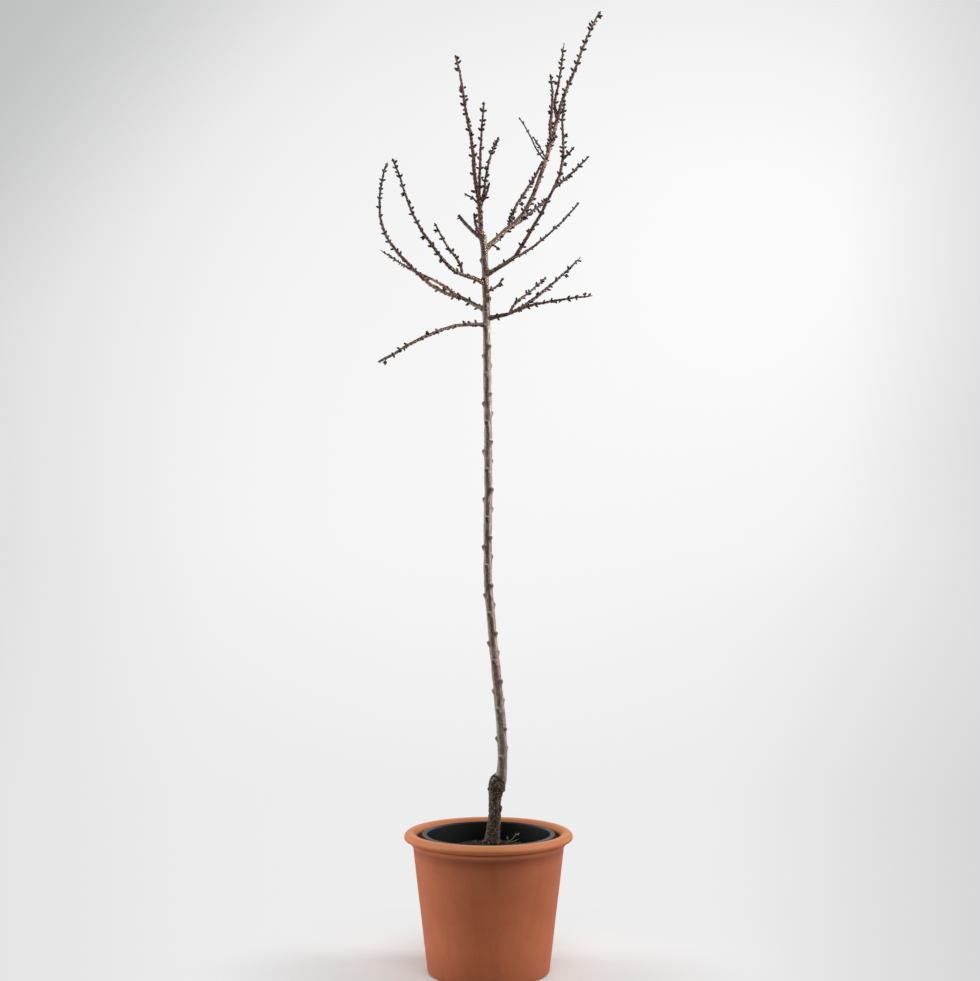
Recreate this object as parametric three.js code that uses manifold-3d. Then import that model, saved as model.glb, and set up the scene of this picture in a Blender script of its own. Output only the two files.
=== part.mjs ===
// Potted moniqui apricot: a grafted standard tree, bare and in bud, in a black nursery
// container that stands inside a rolled-rim terracotta pot.
// Millimetres, +Z up. The origin is the centre of the pot's flat underside.

import * as THREE from 'three';
import * as BufferGeometryUtils from 'three/addons/utils/BufferGeometryUtils.js';
import Module from 'manifold-3d';

const wasm = await Module();
wasm.setup();

// Driving dimensions, in millimetres and degrees.
// Azimuths turn from +X towards +Y, and rises are measured up from level.

// Gap kept where one piece seats on another
const CLEARANCE = 0.3;

// Corners of a geometry that lie this close are one
const WELD = 1e-3;

const TERRACOTTA = {
  sides: 44,
  footRadius: 127.3,
  footRounding: 8,
  shoulderRadius: 156.3,
  shoulderHeight: 257.5,
  bead: { radius: 4.6, centre: 154.2, height: 263, from: -60, to: 60 },
  neck: { radius: 156.2, height: 269.3 },
  roll: { radius: 13, rise: 10.5, centre: 162, height: 281, from: -100, to: 200 },
  wall: 11.5,
  floor: 15,
  innerRounding: 10,
  drain: { holes: 3, radius: 6.5, circle: 60, azimuth: 90, sides: 16 },
};

const CONTAINER = {
  sides: 36,
  lip: { radius: 138.5, width: 10, thick: 4, rounding: 2.4, drop: 9 },
  height: 269.2,
  topRadius: 129,
  bottomRadius: 106,
  footChamfer: 3,
  wall: 2,
  floor: 2.5,
};

const SOIL = {
  edgeHeight: 242,
  crownHeight: 264,
  seatRadius: 27,
  rings: 6,
  ripple: { height: 1.6, waves: [11, 9] },
};

// The trunk's foot stands on the soil's crown. Each station gives a height above the
// pot's underside, the axis there, and the thickness.
const ROOTSTOCK = {
  sides: 16,
  spacing: 12,
  stations: [
    { height: 264.3, x: 7, y: 10, thick: 34 },
    { height: 288, x: 9.5, y: 9.5, thick: 29.5 },
    { height: 322, x: 12.5, y: 8, thick: 26 },
    { height: 350, x: 12.6, y: 7, thick: 25 },
    { height: 385, x: 16, y: 6, thick: 32 },
    { height: 418, x: 13, y: 5, thick: 27 },
  ],
  flare: { lobes: 3, depth: 0.16, reach: 14, azimuth: 190 },
  cut: { x: 6, y: 2, z: 389.5, azimuth: 225, slope: 48, reach: 120 },
};

const SCION = {
  sides: 12,
  stations: [
    { height: 372, x: 20, y: 5, thick: 26 },
    { height: 400, x: 26, y: 4, thick: 24 },
    { height: 425, x: 28.3, y: 3, thick: 21 },
    { height: 462, x: 29, y: 1, thick: 20.6 },
    { height: 564, x: 21.5, y: -3, thick: 20 },
    { height: 702, x: 8, y: -5, thick: 18.2 },
    { height: 830, x: -1.5, y: -3, thick: 17.4 },
    { height: 1036, x: -0.5, y: 2, thick: 17 },
    { height: 1263, x: -3, y: 4, thick: 16.4 },
    { height: 1433, x: -6.5, y: 4, thick: 14.8 },
    { height: 1529, x: -10.5, y: 4, thick: 13.4 },
  ],
};

const LEADER = {
  sides: 10,
  spacing: 13,
  leaves: 1517,
  stations: [
    { height: 1492, x: -8.5, y: 4, thick: 11 },
    { height: 1523, x: -14.5, y: 4, thick: 10.4 },
    { height: 1566, x: -17, y: 5, thick: 10.2 },
    { height: 1602, x: -19, y: 6, thick: 10.6 },
  ],
};

// Stump of the first leader, pruned off just above the head
const STUMP = {
  on: 'trunk', at: 1520, azimuth: 20, length: 18, thick: [8.8, 7.4], rises: [72, 80],
};
const STUMP_INTERNODE = 6;
const STUMP_SEED = 99;

// Buds wind round every shoot, and eyes the other way round the scion, two turns to every
// five. The eyes are counted from the one that faces straight left.
const TURN = 144;
const EYE = { spacing: 20.43, leftAt: 1179.6, first: 440, last: 1480, proud: 1.5 };

// Knobs on the rootstock, where small shoots were rubbed off
const KNOBS = [
  { height: 337, azimuth: 350, proud: 3.2, size: 5.2 },
  { height: 378, azimuth: 182, proud: 2.4, size: 3.6 },
];
const KNOB_STRETCH = 1.5;

// A limb is walked from node to node and kinks a little at each
const BOUGH = { sides: 8, internode: 25, budChance: 0.7, spurChance: 0.15 };
const TWIG = { sides: 4, internode: 19, budChance: 0.72, spurChance: 0.16 };
const KINK = 3.2;
const FIRST_SEED = 100;
const COLLAR = { swell: 0.3, reach: 7, rings: [0, 4, 11], bare: 12 };
const BUD = { proud: 4.4, ahead: 3, before: 2.4, beyond: 2.9, smallest: 0.8, largest: 1.2 };
const TIP = { length: 6.5, shoulder: 3.9, swell: 1.5, point: 0.25 };
const SPUR = { shortest: 8, longest: 17, thick: 2.6, lean: 58 };
const SPUR_BUD = { length: 6.6, shoulder: 3.5, radius: 2.2, point: 0.4 };
const NEAREST = 6;

// Main boughs, each on the trunk at a height or on another bough at a share of its length
const BOUGHS = {
  low_left: {
    on: 'trunk', at: 1342, azimuth: 205, length: 96, thick: [7.6, 6.4],
    rises: [4, -6, -17],
  },
  low_right: {
    on: 'trunk', at: 1355, azimuth: 345, length: 47, thick: [9, 8],
    rises: [7, 15, 7],
  },
  middle_left: {
    on: 'trunk', at: 1374, azimuth: 145, length: 68, thick: [9.4, 8.2],
    rises: [18, 28, 21],
  },
  upper_left: {
    on: 'trunk', at: 1428, azimuth: 215, length: 54, thick: [9, 8],
    rises: [20, 10],
  },
  middle_right: {
    on: 'trunk', at: 1445, azimuth: 320, length: 86, thick: [9.6, 8.4],
    rises: [23, 21, 24],
  },
  middle_right_upper: {
    on: 'middle_right', at: 1, azimuth: 325, length: 157, thick: [8, 6],
    rises: [54, 51, 56, 59],
  },
  high_right: {
    on: 'trunk', at: 1498, azimuth: 40, length: 101, thick: [11.6, 10.6],
    rises: [35, 40, 33],
  },
  high_right_upper: {
    on: 'high_right', at: 1, azimuth: 45, length: 165, thick: [10, 8.4],
    rises: [36, 59, 67],
  },
  pruned_left: {
    on: 'trunk', at: 1522, azimuth: 150, length: 77, thick: [8.4, 7],
    rises: [35, 44, 47],
  },
};

// Masses of twigs. The first shoot of each is its stem, which seats on a bough or on the
// trunk, and the other shoots leave the stem or each other.
const MASSES = {
  low_left: {
    stem: {
      on: 'low_left', at: 1, azimuth: 205, length: 165, thick: [6.2, 4.4],
      rises: [-20, -24, -33, -23],
    },
  },
  low_right: {
    stem: {
      on: 'low_right', at: 1, azimuth: 15, length: 202, thick: [6.6, 3],
      rises: [24, 38, 41, 46],
    },
    back: {
      on: 'stem', at: 0.02, azimuth: 50, length: 151, thick: [5.2, 2.8],
      rises: [60, 26, 33, 31],
    },
    front: {
      on: 'stem', at: 0.05, azimuth: 325, length: 198, thick: [5.6, 3],
      rises: [19, 6, 4, 0],
    },
  },
  middle_left: {
    stem: {
      on: 'middle_left', at: 1, azimuth: 160, length: 387, thick: [7.4, 3.4],
      rises: [12, 41, 49, 89, 112],
    },
    back: {
      on: 'stem', at: 0.02, azimuth: 135, length: 276, thick: [5.6, 2.8],
      rises: [36, 24, 21, 29, 26],
    },
  },
  upper_left: {
    stem: {
      on: 'upper_left', at: 1, azimuth: 213, length: 293, thick: [6.6, 3.2],
      rises: [9, 47, 47, 62, 71, 60],
    },
    front: {
      on: 'stem', at: 0.02, azimuth: 235, length: 137, thick: [5.2, 3],
      rises: [78, 29, 42, 50],
    },
  },
  small_right: {
    stem: {
      on: 'trunk', at: 1410, azimuth: 305, length: 68, thick: [4.6, 3.4],
      rises: [15, 8, 58],
    },
  },
  middle_right: {
    stem: {
      on: 'middle_right', at: 0.95, azimuth: 305, length: 236, thick: [4.8, 2.8],
      rises: [7, 20, 24, 34],
    },
  },
  middle_right_top: {
    stem: {
      on: 'middle_right_upper', at: 1, azimuth: 20, length: 184, thick: [5.8, 3.6],
      rises: [58, 82, 96, 75],
    },
    side: {
      on: 'stem', at: 0.03, azimuth: 300, length: 136, thick: [4.8, 2.8],
      rises: [16, 18, 20, 22],
    },
    short: {
      on: 'stem', at: 0.36, azimuth: 320, length: 37, thick: [3.6, 3],
      rises: [40, 39],
    },
  },
  high_right_top: {
    stem: {
      on: 'high_right_upper', at: 1, azimuth: 45, length: 412, thick: [8, 3.2],
      rises: [66, 69, 71, 58, 65, 59, 54],
    },
    crossing: {
      on: 'stem', at: 0.035, azimuth: 200, length: 110, thick: [3.2, 2.2],
      rises: [45, 65, 48],
    },
    inner: {
      on: 'stem', at: 0.05, azimuth: 130, length: 70, thick: [3.2, 2.4],
      rises: [56, 48],
    },
    upright: {
      on: 'stem', at: 0.15, azimuth: 240, length: 148, thick: [7, 3.2],
      rises: [68, 106, 93, 60],
    },
    second: {
      on: 'stem', at: 0.28, azimuth: 340, length: 168, thick: [5.6, 3.2],
      rises: [110, 75, 82, 85],
    },
  },
  high_right_front: {
    stem: {
      on: 'high_right', at: 0.86, azimuth: 15, length: 163, thick: [6, 4.4],
      rises: [84, 57, 56, 68],
    },
  },
  high_right_back: {
    stem: {
      on: 'high_right', at: 0.97, azimuth: 60, length: 173, thick: [5.4, 3],
      rises: [15, 31, 26, 35],
    },
  },
  high_right_spur: {
    stem: {
      on: 'high_right', at: 0.24, azimuth: 318, length: 26, thick: [3.4, 3],
      rises: [-23, -38],
    },
  },
  leader_low: {
    stem: {
      on: 'trunk', at: 1528, azimuth: 235, length: 53, thick: [5, 4],
      rises: [18, 66, 76],
    },
  },
  leader_left: {
    stem: {
      on: 'trunk', at: 1592, azimuth: 195, length: 40, thick: [3.6, 2.8],
      rises: [50, 18],
    },
  },
  leader_right: {
    stem: {
      on: 'trunk', at: 1584, azimuth: 30, length: 160, thick: [6, 3.2],
      rises: [70, 83, 73, 57],
    },
    front: {
      on: 'stem', at: 0.06, azimuth: 320, length: 49, thick: [4.2, 3.2],
      rises: [48, 77],
    },
  },
  leader_top: {
    stem: {
      on: 'trunk', at: 1602, azimuth: 130, length: 326, thick: [7.6, 3.6],
      rises: [68, 86, 72, 79, 66],
    },
    second: {
      on: 'stem', at: 0.02, azimuth: 280, length: 196, thick: [6.4, 3.2],
      rises: [72, 81, 68, 58],
    },
  },
};

// Linear congruential numbers from 0 to 1, which repeat from run to run
function seeded(seed) {
  let state = seed;
  return () => {
    state = (Math.imul(state, 1664525) + 1013904223) >>> 0;
    return state / 2 ** 32;
  };
}

const radians = THREE.MathUtils.degToRad;

// Value at a share of the way along an evenly spaced list
function along(values, share) {
  const place = THREE.MathUtils.clamp(share, 0, 1) * (values.length - 1);
  const index = Math.min(Math.floor(place), values.length - 2);
  return THREE.MathUtils.lerp(values[index], values[index + 1], place - index);
}

// Smooth value of one key at a height between the stations of a stem
function between(stations, key, height) {
  const last = stations.length - 1;
  let i = 0;
  while (i < last - 1 && height > stations[i + 1].height) {
    i += 1;
  }
  const slope = (j) => {
    const low = stations[Math.max(j - 1, 0)];
    const high = stations[Math.min(j + 1, last)];
    return (high[key] - low[key]) / (high.height - low.height);
  };
  const span = stations[i + 1].height - stations[i].height;
  const t = THREE.MathUtils.clamp((height - stations[i].height) / span, 0, 1);
  const start = (2 * t ** 3 - 3 * t ** 2 + 1) * stations[i][key];
  const end = (3 * t ** 2 - 2 * t ** 3) * stations[i + 1][key];
  const leave = (t ** 3 - 2 * t ** 2 + t) * span * slope(i);
  const arrive = (t ** 3 - t ** 2) * span * slope(i + 1);
  return start + end + leave + arrive;
}

// Directions of a limb: along it, and the two across it
function axesOf(azimuth, rise) {
  const a = radians(azimuth);
  const r = radians(rise);
  return {
    forward: new THREE.Vector3(Math.cos(r) * Math.cos(a), Math.cos(r) * Math.sin(a), Math.sin(r)),
    side: new THREE.Vector3(-Math.sin(a), Math.cos(a), 0),
    up: new THREE.Vector3(-Math.sin(r) * Math.cos(a), -Math.sin(r) * Math.sin(a), Math.cos(r)),
  };
}

// Direction that leans away from the limb's own, towards a turn round it
function leaning({ forward, side, up }, turn, lean) {
  return new THREE.Vector3()
    .addScaledVector(forward, Math.cos(radians(lean)))
    .addScaledVector(side, Math.sin(radians(lean)) * Math.sin(radians(turn)))
    .addScaledVector(up, Math.sin(radians(lean)) * Math.cos(radians(turn)));
}

// Closed solid of a geometry, with its shared corners merged
function solidOf(geometry) {
  geometry.deleteAttribute('normal');
  geometry.deleteAttribute('uv');
  const merged = BufferGeometryUtils.mergeVertices(geometry, WELD);
  const corners = Array.from(merged.index.array);
  const triVerts = [];
  for (let i = 0; i < corners.length; i += 3) {
    const [a, b, c] = corners.slice(i, i + 3);
    if (a !== b && b !== c && c !== a) {
      triVerts.push(a, b, c);
    }
  }
  return new wasm.Manifold(new wasm.Mesh({
    numProp: 3,
    vertProperties: new Float32Array(merged.attributes.position.array),
    triVerts: new Uint32Array(triVerts),
  }));
}

function fused(solids) {
  return solids.reduce((whole, solid) => whole.add(solid));
}

// Named mesh of a solid
function meshOf(name, solid, finish) {
  const result = solid.getMesh();
  const geometry = new THREE.BufferGeometry();
  const position = new THREE.BufferAttribute(new Float32Array(result.vertProperties), 3);
  geometry.setAttribute('position', position);
  geometry.setIndex(Array.from(result.triVerts));
  geometry.computeVertexNormals();
  const mesh = new THREE.Mesh(geometry, new THREE.MeshStandardMaterial(finish));
  mesh.name = name;
  return mesh;
}

// Points of a round stretch of a profile, which is oval where its rise differs
function arc(centreX, centreY, radius, from, to, steps, rise = radius) {
  return Array.from({ length: steps + 1 }, (_, i) => {
    const angle = radians(from + ((to - from) * i) / steps);
    return new THREE.Vector2(centreX + radius * Math.cos(angle), centreY + rise * Math.sin(angle));
  });
}

// Solid turned about +Z from a profile of radius and height
function turned(profile, sides) {
  const geometry = new THREE.LatheGeometry(profile, sides);
  geometry.rotateX(Math.PI / 2);
  return solidOf(geometry);
}

// Terracotta pot: thrown body, small bead under a rolled rim, drain holes in the floor
function terracottaPot() {
  const p = TERRACOTTA;
  const flare = (p.shoulderRadius - p.footRadius) / (p.shoulderHeight - p.footRounding);
  const innerTop = p.shoulderRadius - p.wall;
  const innerFoot = innerTop - flare * (p.shoulderHeight - p.floor);
  const profile = [
    new THREE.Vector2(0, 0),
    ...arc(p.footRadius - p.footRounding, p.footRounding, p.footRounding, -90, 0, 2),
    new THREE.Vector2(p.shoulderRadius, p.shoulderHeight),
    ...arc(p.bead.centre, p.bead.height, p.bead.radius, p.bead.from, p.bead.to, 2),
    new THREE.Vector2(p.neck.radius, p.neck.height),
    ...arc(p.roll.centre, p.roll.height, p.roll.radius, p.roll.from, p.roll.to, 10, p.roll.rise),
    new THREE.Vector2(innerTop, p.shoulderHeight),
    ...arc(innerFoot - p.innerRounding, p.floor + p.innerRounding, p.innerRounding, 0, -90, 2),
    new THREE.Vector2(0, p.floor),
  ];
  let pot = turned(profile, p.sides);
  const { holes, radius, circle, azimuth, sides } = p.drain;
  for (let i = 0; i < holes; i += 1) {
    const angle = radians(azimuth + (360 * i) / holes);
    const drill = new THREE.CylinderGeometry(radius, radius, 4 * p.floor, sides);
    drill.rotateX(Math.PI / 2);
    drill.translate(circle * Math.cos(angle), circle * Math.sin(angle), 0);
    pot = pot.subtract(solidOf(drill));
  }
  return pot;
}

// Nursery container: thin tapered wall under a broad lip that turns down at its edge
function nurseryContainer() {
  const { lip, ...c } = CONTAINER;
  const foot = TERRACOTTA.floor + CLEARANCE;
  const top = foot + c.height;
  const inner = lip.radius - lip.width;
  const profile = [
    new THREE.Vector2(0, foot),
    new THREE.Vector2(c.bottomRadius - c.footChamfer, foot),
    new THREE.Vector2(c.bottomRadius, foot + c.footChamfer),
    new THREE.Vector2(c.topRadius, top - lip.thick),
    new THREE.Vector2(lip.radius - c.wall, top - lip.thick),
    new THREE.Vector2(lip.radius - c.wall, top - lip.drop),
    new THREE.Vector2(lip.radius, top - lip.drop),
    ...arc(lip.radius - lip.rounding, top - lip.rounding, lip.rounding, 0, 90, 2),
    ...arc(inner + lip.rounding, top - lip.rounding, lip.rounding, 90, 180, 2),
    new THREE.Vector2(c.topRadius - c.wall, top - lip.drop),
    new THREE.Vector2(c.bottomRadius - c.wall, foot + c.floor),
    new THREE.Vector2(0, foot + c.floor),
  ];
  return turned(profile, c.sides);
}

// Radius of the container's inner wall at a height
function containerBore(height) {
  const c = CONTAINER;
  const foot = TERRACOTTA.floor + CLEARANCE;
  const low = foot + c.floor;
  const high = foot + c.height - c.lip.drop;
  return THREE.MathUtils.mapLinear(height, low, high, c.bottomRadius, c.topRadius) - c.wall;
}

// Potting soil: fills the container, mounded to a flat seat under the trunk's foot
function pottingSoil() {
  const s = SOIL;
  const foot = ROOTSTOCK.stations[0];
  const bottom = TERRACOTTA.floor + CLEARANCE + CONTAINER.floor + CLEARANCE;
  const edge = containerBore(s.edgeHeight) - CLEARANCE;
  const mound = Array.from({ length: s.rings + 1 }, (_, i) => {
    const rise = THREE.MathUtils.smoothstep(i, 0, s.rings);
    return new THREE.Vector2(
      THREE.MathUtils.lerp(edge, s.seatRadius, i / s.rings),
      THREE.MathUtils.lerp(s.edgeHeight, s.crownHeight, rise),
    );
  });
  const profile = [
    new THREE.Vector2(0, bottom),
    new THREE.Vector2(containerBore(bottom) - CLEARANCE, bottom),
    ...mound,
    new THREE.Vector2(0, s.crownHeight),
  ];
  const geometry = new THREE.LatheGeometry(profile, CONTAINER.sides);
  geometry.rotateX(Math.PI / 2);
  const position = geometry.attributes.position;
  for (let i = 0; i < position.count; i += 1) {
    const x = position.getX(i);
    const y = position.getY(i);
    const radius = Math.hypot(x, y);
    if (position.getZ(i) > s.edgeHeight) {
      const inward = 1 - radius / edge;
      const slope = THREE.MathUtils.clamp((edge - radius) / (edge - s.seatRadius), 0, 1);
      const waves = Math.sin(x / s.ripple.waves[0]) * Math.cos(y / s.ripple.waves[1]);
      const ripple = s.ripple.height * waves * Math.sin(Math.PI * slope);
      position.setXYZ(i, x + foot.x * inward, y + foot.y * inward, position.getZ(i) + ripple);
    }
  }
  return solidOf(geometry);
}

// Tapered tube through rings that each have a middle, directions and a radius. A ring's
// bud draws out the corner that lies nearest to its turn.
function tube(rings, sides) {
  const last = rings.length - 1;
  const geometry = new THREE.CylinderGeometry(1, 1, 1, sides, last);
  const position = geometry.attributes.position;
  for (let i = 0; i < position.count; i += 1) {
    const ring = rings[Math.round((0.5 - position.getY(i)) * last)];
    const offset = Math.hypot(position.getX(i), position.getZ(i));
    const turn = THREE.MathUtils.radToDeg(Math.atan2(position.getX(i), position.getZ(i)));
    const reach = ring.radius * (ring.bulge ? ring.bulge(turn) : 1);
    const corner = ring.point.clone().addScaledVector(leaning(ring.axes, turn, 90), offset * reach);
    if (ring.bud && isNearest(turn, ring.bud.turn, sides)) {
      corner.addScaledVector(leaning(ring.axes, turn, 90), ring.bud.proud);
      corner.addScaledVector(ring.axes.forward, ring.bud.ahead);
    }
    position.setXYZ(i, corner.x, corner.y, corner.z);
  }
  return solidOf(geometry);
}

// True for the corner of a ring that lies nearest to a turn
function isNearest(turn, wanted, sides) {
  const corner = (angle) => (Math.round((angle * sides) / 360) % sides + sides) % sides;
  return corner(turn) === corner(wanted);
}

const firstHeight = (stem) => stem.stations[0].height;
const lastHeight = (stem) => stem.stations[stem.stations.length - 1].height;

// Ring of an upright stem at a height
function stemRing(stem, height, extra = 0) {
  return {
    point: new THREE.Vector3(
      between(stem.stations, 'x', height),
      between(stem.stations, 'y', height),
      height,
    ),
    axes: axesOf(0, 90),
    radius: between(stem.stations, 'thick', height) / 2 + extra,
  };
}

// Rings up a whole stem, evenly spaced by height
function stemRings(stem, extra) {
  const from = firstHeight(stem);
  const to = lastHeight(stem) + extra;
  const count = Math.round((to - from) / stem.spacing);
  const heights = Array.from({ length: count + 1 }, (_, i) => from + ((to - from) * i) / count);
  return heights.map((height) => stemRing(stem, height, extra));
}

// Rings up the scion, one at each eye and one at each end
function scionRings(extra) {
  const from = firstHeight(SCION);
  const to = lastHeight(SCION) + extra;
  const rings = [stemRing(SCION, from, extra)];
  const lowest = Math.ceil((from + 1 - EYE.leftAt) / EYE.spacing);
  const highest = Math.floor((to - 1 - EYE.leftAt) / EYE.spacing);
  for (let i = lowest; i <= highest; i += 1) {
    const height = EYE.leftAt + i * EYE.spacing;
    const isEye = height > EYE.first && height < EYE.last;
    const bud = isEye ? { turn: -TURN * i, proud: EYE.proud, ahead: 0 } : undefined;
    rings.push({ ...stemRing(SCION, height, extra), bud });
  }
  rings.push(stemRing(SCION, to, extra));
  return rings;
}

// Ring of the trunk that carries the crown, at a height
function trunkAt(height) {
  return stemRing(height > LEADER.leaves ? LEADER : SCION, height);
}

// Joints of a limb: it is walked from node to node, with its rise read along its length
function joints(limb, start, internode, random) {
  const count = Math.max(2, Math.round(limb.length / internode));
  const stride = limb.length / count;
  const phase = 360 * random();
  const point = start.point.clone();
  const list = [];
  for (let i = 0; i <= count; i += 1) {
    list.push({ point: point.clone(), turn: phase + TURN * i });
    const ahead = axesOf(limb.azimuth, along(limb.rises, (i + 0.5) / count));
    point.addScaledVector(leaning(ahead, phase + TURN * i, KINK), stride);
  }
  return list;
}

// Ring of a grown limb at a distance along it
function limbAt(grown, distance) {
  const { limb, start } = grown;
  const share = THREE.MathUtils.clamp(distance / limb.length, 0, 1);
  const place = share * (grown.joints.length - 1);
  const index = Math.min(Math.floor(place), grown.joints.length - 2);
  const point = grown.joints[index].point.clone().lerp(grown.joints[index + 1].point, place - index);
  const beyond = Math.max(0, distance - start.radius);
  const collar = limb.on === 'trunk' ? COLLAR.swell * Math.exp(-beyond / COLLAR.reach) : 0;
  return {
    point,
    axes: axesOf(limb.azimuth, along(limb.rises, share)),
    radius: (along(limb.thick, share) / 2) * (1 + collar),
  };
}

// Every limb's joints, worked out before any solid so that buds can keep clear of them
function growAll() {
  const all = [];
  const add = (name, node, limb, kind, parents) => {
    const random = seeded(FIRST_SEED + all.length);
    const parent = parents[limb.on];
    const start = parent ? limbAt(parent, limb.at * parent.limb.length) : trunkAt(limb.at);
    const grown = { node, limb, kind, start, random };
    grown.joints = joints(limb, start, kind.internode, random);
    parents[name] = grown;
    all.push(grown);
  };
  const boughs = {};
  for (const [name, limb] of Object.entries(BOUGHS)) {
    add(name, `bough_${name}`, limb, BOUGH, boughs);
  }
  for (const [name, shoots] of Object.entries(MASSES)) {
    const parents = { ...boughs };
    for (const [part, limb] of Object.entries(shoots)) {
      add(part, `twigs_${name}`, limb, TWIG, parents);
    }
  }
  return all;
}

const CROWN = growAll();

// True where a point keeps clear of the trunk and of every limb of other pieces
function isClear(point, own) {
  const trunk = trunkAt(THREE.MathUtils.clamp(point.z, firstHeight(SCION), lastHeight(LEADER)));
  if (point.distanceTo(trunk.point) < trunk.radius + NEAREST) {
    return false;
  }
  const closest = new THREE.Vector3();
  return CROWN.filter((grown) => grown.node !== own).every((grown) => {
    const reach = grown.limb.thick[0] / 2 + NEAREST;
    return grown.joints.slice(1).every((joint, i) => {
      new THREE.Line3(grown.joints[i].point, joint.point).closestPointToPoint(point, true, closest);
      return point.distanceTo(closest) > reach;
    });
  });
}

// Short side spur that swells into a bud at its end
function spurSolid(grown, distance, turn, length) {
  const ring = limbAt(grown, distance);
  const direction = leaning(ring.axes, turn, SPUR.lean);
  const azimuth = THREE.MathUtils.radToDeg(Math.atan2(direction.y, direction.x));
  const rise = THREE.MathUtils.radToDeg(Math.asin(direction.z));
  const axes = axesOf(azimuth, rise);
  const reach = ring.radius + length;
  const stops = [
    [0, SPUR.thick / 2],
    [reach - SPUR_BUD.length, SPUR.thick / 2],
    [reach - SPUR_BUD.shoulder, SPUR_BUD.radius],
    [reach, SPUR_BUD.point],
  ];
  const rings = stops.map(([far, radius]) => ({
    point: ring.point.clone().addScaledVector(direction, far), axes, radius,
  }));
  return isClear(rings[stops.length - 1].point, grown.node) ? [tube(rings, TWIG.sides)] : [];
}

// Rings of a limb with its buds, and its spurs as solids to fuse on
function limbGrowth(grown) {
  const { limb, start, random, kind } = grown;
  const stride = limb.length / (grown.joints.length - 1);
  const marks = [{ far: 0 }];
  if (limb.on === 'trunk') {
    marks.push(...COLLAR.rings.map((step) => ({ far: start.radius + step })));
  }
  const spurs = [];
  grown.joints.slice(1, -1).forEach(({ turn }, i) => {
    const far = (i + 1) * stride;
    const scale = THREE.MathUtils.lerp(BUD.smallest, BUD.largest, random());
    const draw = random();
    const length = THREE.MathUtils.lerp(SPUR.shortest, SPUR.longest, random());
    if (far < start.radius + COLLAR.bare) {
      return;
    }
    const ring = limbAt(grown, far);
    const bud = { turn, proud: BUD.proud * scale, ahead: BUD.ahead * scale };
    const outward = leaning(ring.axes, turn, 90);
    const tip = ring.point.clone().addScaledVector(outward, ring.radius + bud.proud);
    if (draw < kind.spurChance) {
      spurs.push(...spurSolid(grown, far, turn, length));
    }
    if (draw < kind.budChance && isClear(tip, grown.node)) {
      marks.push({ far: far - BUD.before }, { far, bud }, { far: far + BUD.beyond });
    } else {
      marks.push({ far });
    }
  });
  if (kind === TWIG) {
    marks.push({ far: limb.length - TIP.length });
    marks.push({ far: limb.length - TIP.shoulder, swell: TIP.swell });
  }
  marks.push({ far: limb.length, swell: kind === TWIG ? TIP.point : 1 });
  const rings = marks.map(({ far, bud, swell = 1 }) => {
    const ring = limbAt(grown, far);
    return { ...ring, radius: ring.radius * swell, bud };
  });
  return { rings, spurs };
}

// Rings of a limb made fatter by the clearance and run on past its tip by as much
function roomAround(rings) {
  const fatter = rings.map(({ point, axes, radius }) => ({ point, axes, radius: radius + CLEARANCE }));
  const end = fatter[fatter.length - 1];
  end.point = end.point.clone().addScaledVector(end.axes.forward, CLEARANCE);
  return fatter;
}

// Trunk: rootstock with its oblique cut, scion with its eyes, leader and pruned stump,
// all made fatter by extra where later pieces are to be cut clear of them
function trunkParts(extra) {
  const { flare, cut } = ROOTSTOCK;
  const stock = stemRings(ROOTSTOCK, extra).map((ring) => {
    const fade = flare.depth * Math.exp((firstHeight(ROOTSTOCK) - ring.point.z) / flare.reach);
    const lobe = (turn) => Math.cos(flare.lobes * radians(180 - turn - flare.azimuth));
    return { ...ring, bulge: (turn) => 1 + fade * lobe(turn) };
  });
  const slab = new THREE.BoxGeometry(cut.reach, cut.reach, cut.reach);
  slab.translate(0, 0, cut.reach / 2);
  slab.rotateY(radians(cut.slope));
  slab.rotateZ(radians(cut.azimuth));
  slab.translate(cut.x, cut.y, cut.z);
  const stump = { limb: STUMP, start: trunkAt(STUMP.at) };
  stump.joints = joints(STUMP, stump.start, STUMP_INTERNODE, seeded(STUMP_SEED));
  const stumpRings = stump.joints.map((_, i) => {
    const ring = limbAt(stump, (STUMP.length * i) / (stump.joints.length - 1));
    return { ...ring, radius: ring.radius + extra };
  });
  return [
    tube(stock, ROOTSTOCK.sides).subtract(solidOf(slab)),
    tube(scionRings(extra), SCION.sides),
    tube(stemRings(LEADER, extra), LEADER.sides),
    tube(stumpRings, BOUGH.sides),
  ];
}

// Low knob on the rootstock, sunk well in
function knobSolid({ height, azimuth, proud, size }) {
  const ring = stemRing(ROOTSTOCK, height);
  const reach = ring.radius + proud - size;
  const knob = new THREE.IcosahedronGeometry(size);
  knob.scale(1, 1, KNOB_STRETCH);
  knob.translate(
    ring.point.x + reach * Math.cos(radians(azimuth)),
    ring.point.y + reach * Math.sin(radians(azimuth)),
    height,
  );
  return solidOf(knob);
}

// Solids of the crown by name, each cut clear of the trunk and of the pieces before it
function crownSolids() {
  const pieces = new Map();
  for (const grown of CROWN) {
    const piece = pieces.get(grown.node) ?? { solids: [], rooms: [] };
    const { rings, spurs } = limbGrowth(grown);
    piece.solids.push(tube(rings, grown.kind.sides), ...spurs);
    piece.rooms.push(tube(roomAround(rings), grown.kind.sides));
    pieces.set(grown.node, piece);
  }
  const rooms = [fused(trunkParts(CLEARANCE))];
  return [...pieces].map(([node, piece]) => {
    const cut = rooms.reduce((solid, room) => solid.subtract(room), fused(piece.solids));
    rooms.push(fused(piece.rooms));
    const [largest] = cut.decompose().sort((a, b) => b.volume() - a.volume());
    return [node, largest];
  });
}

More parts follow.
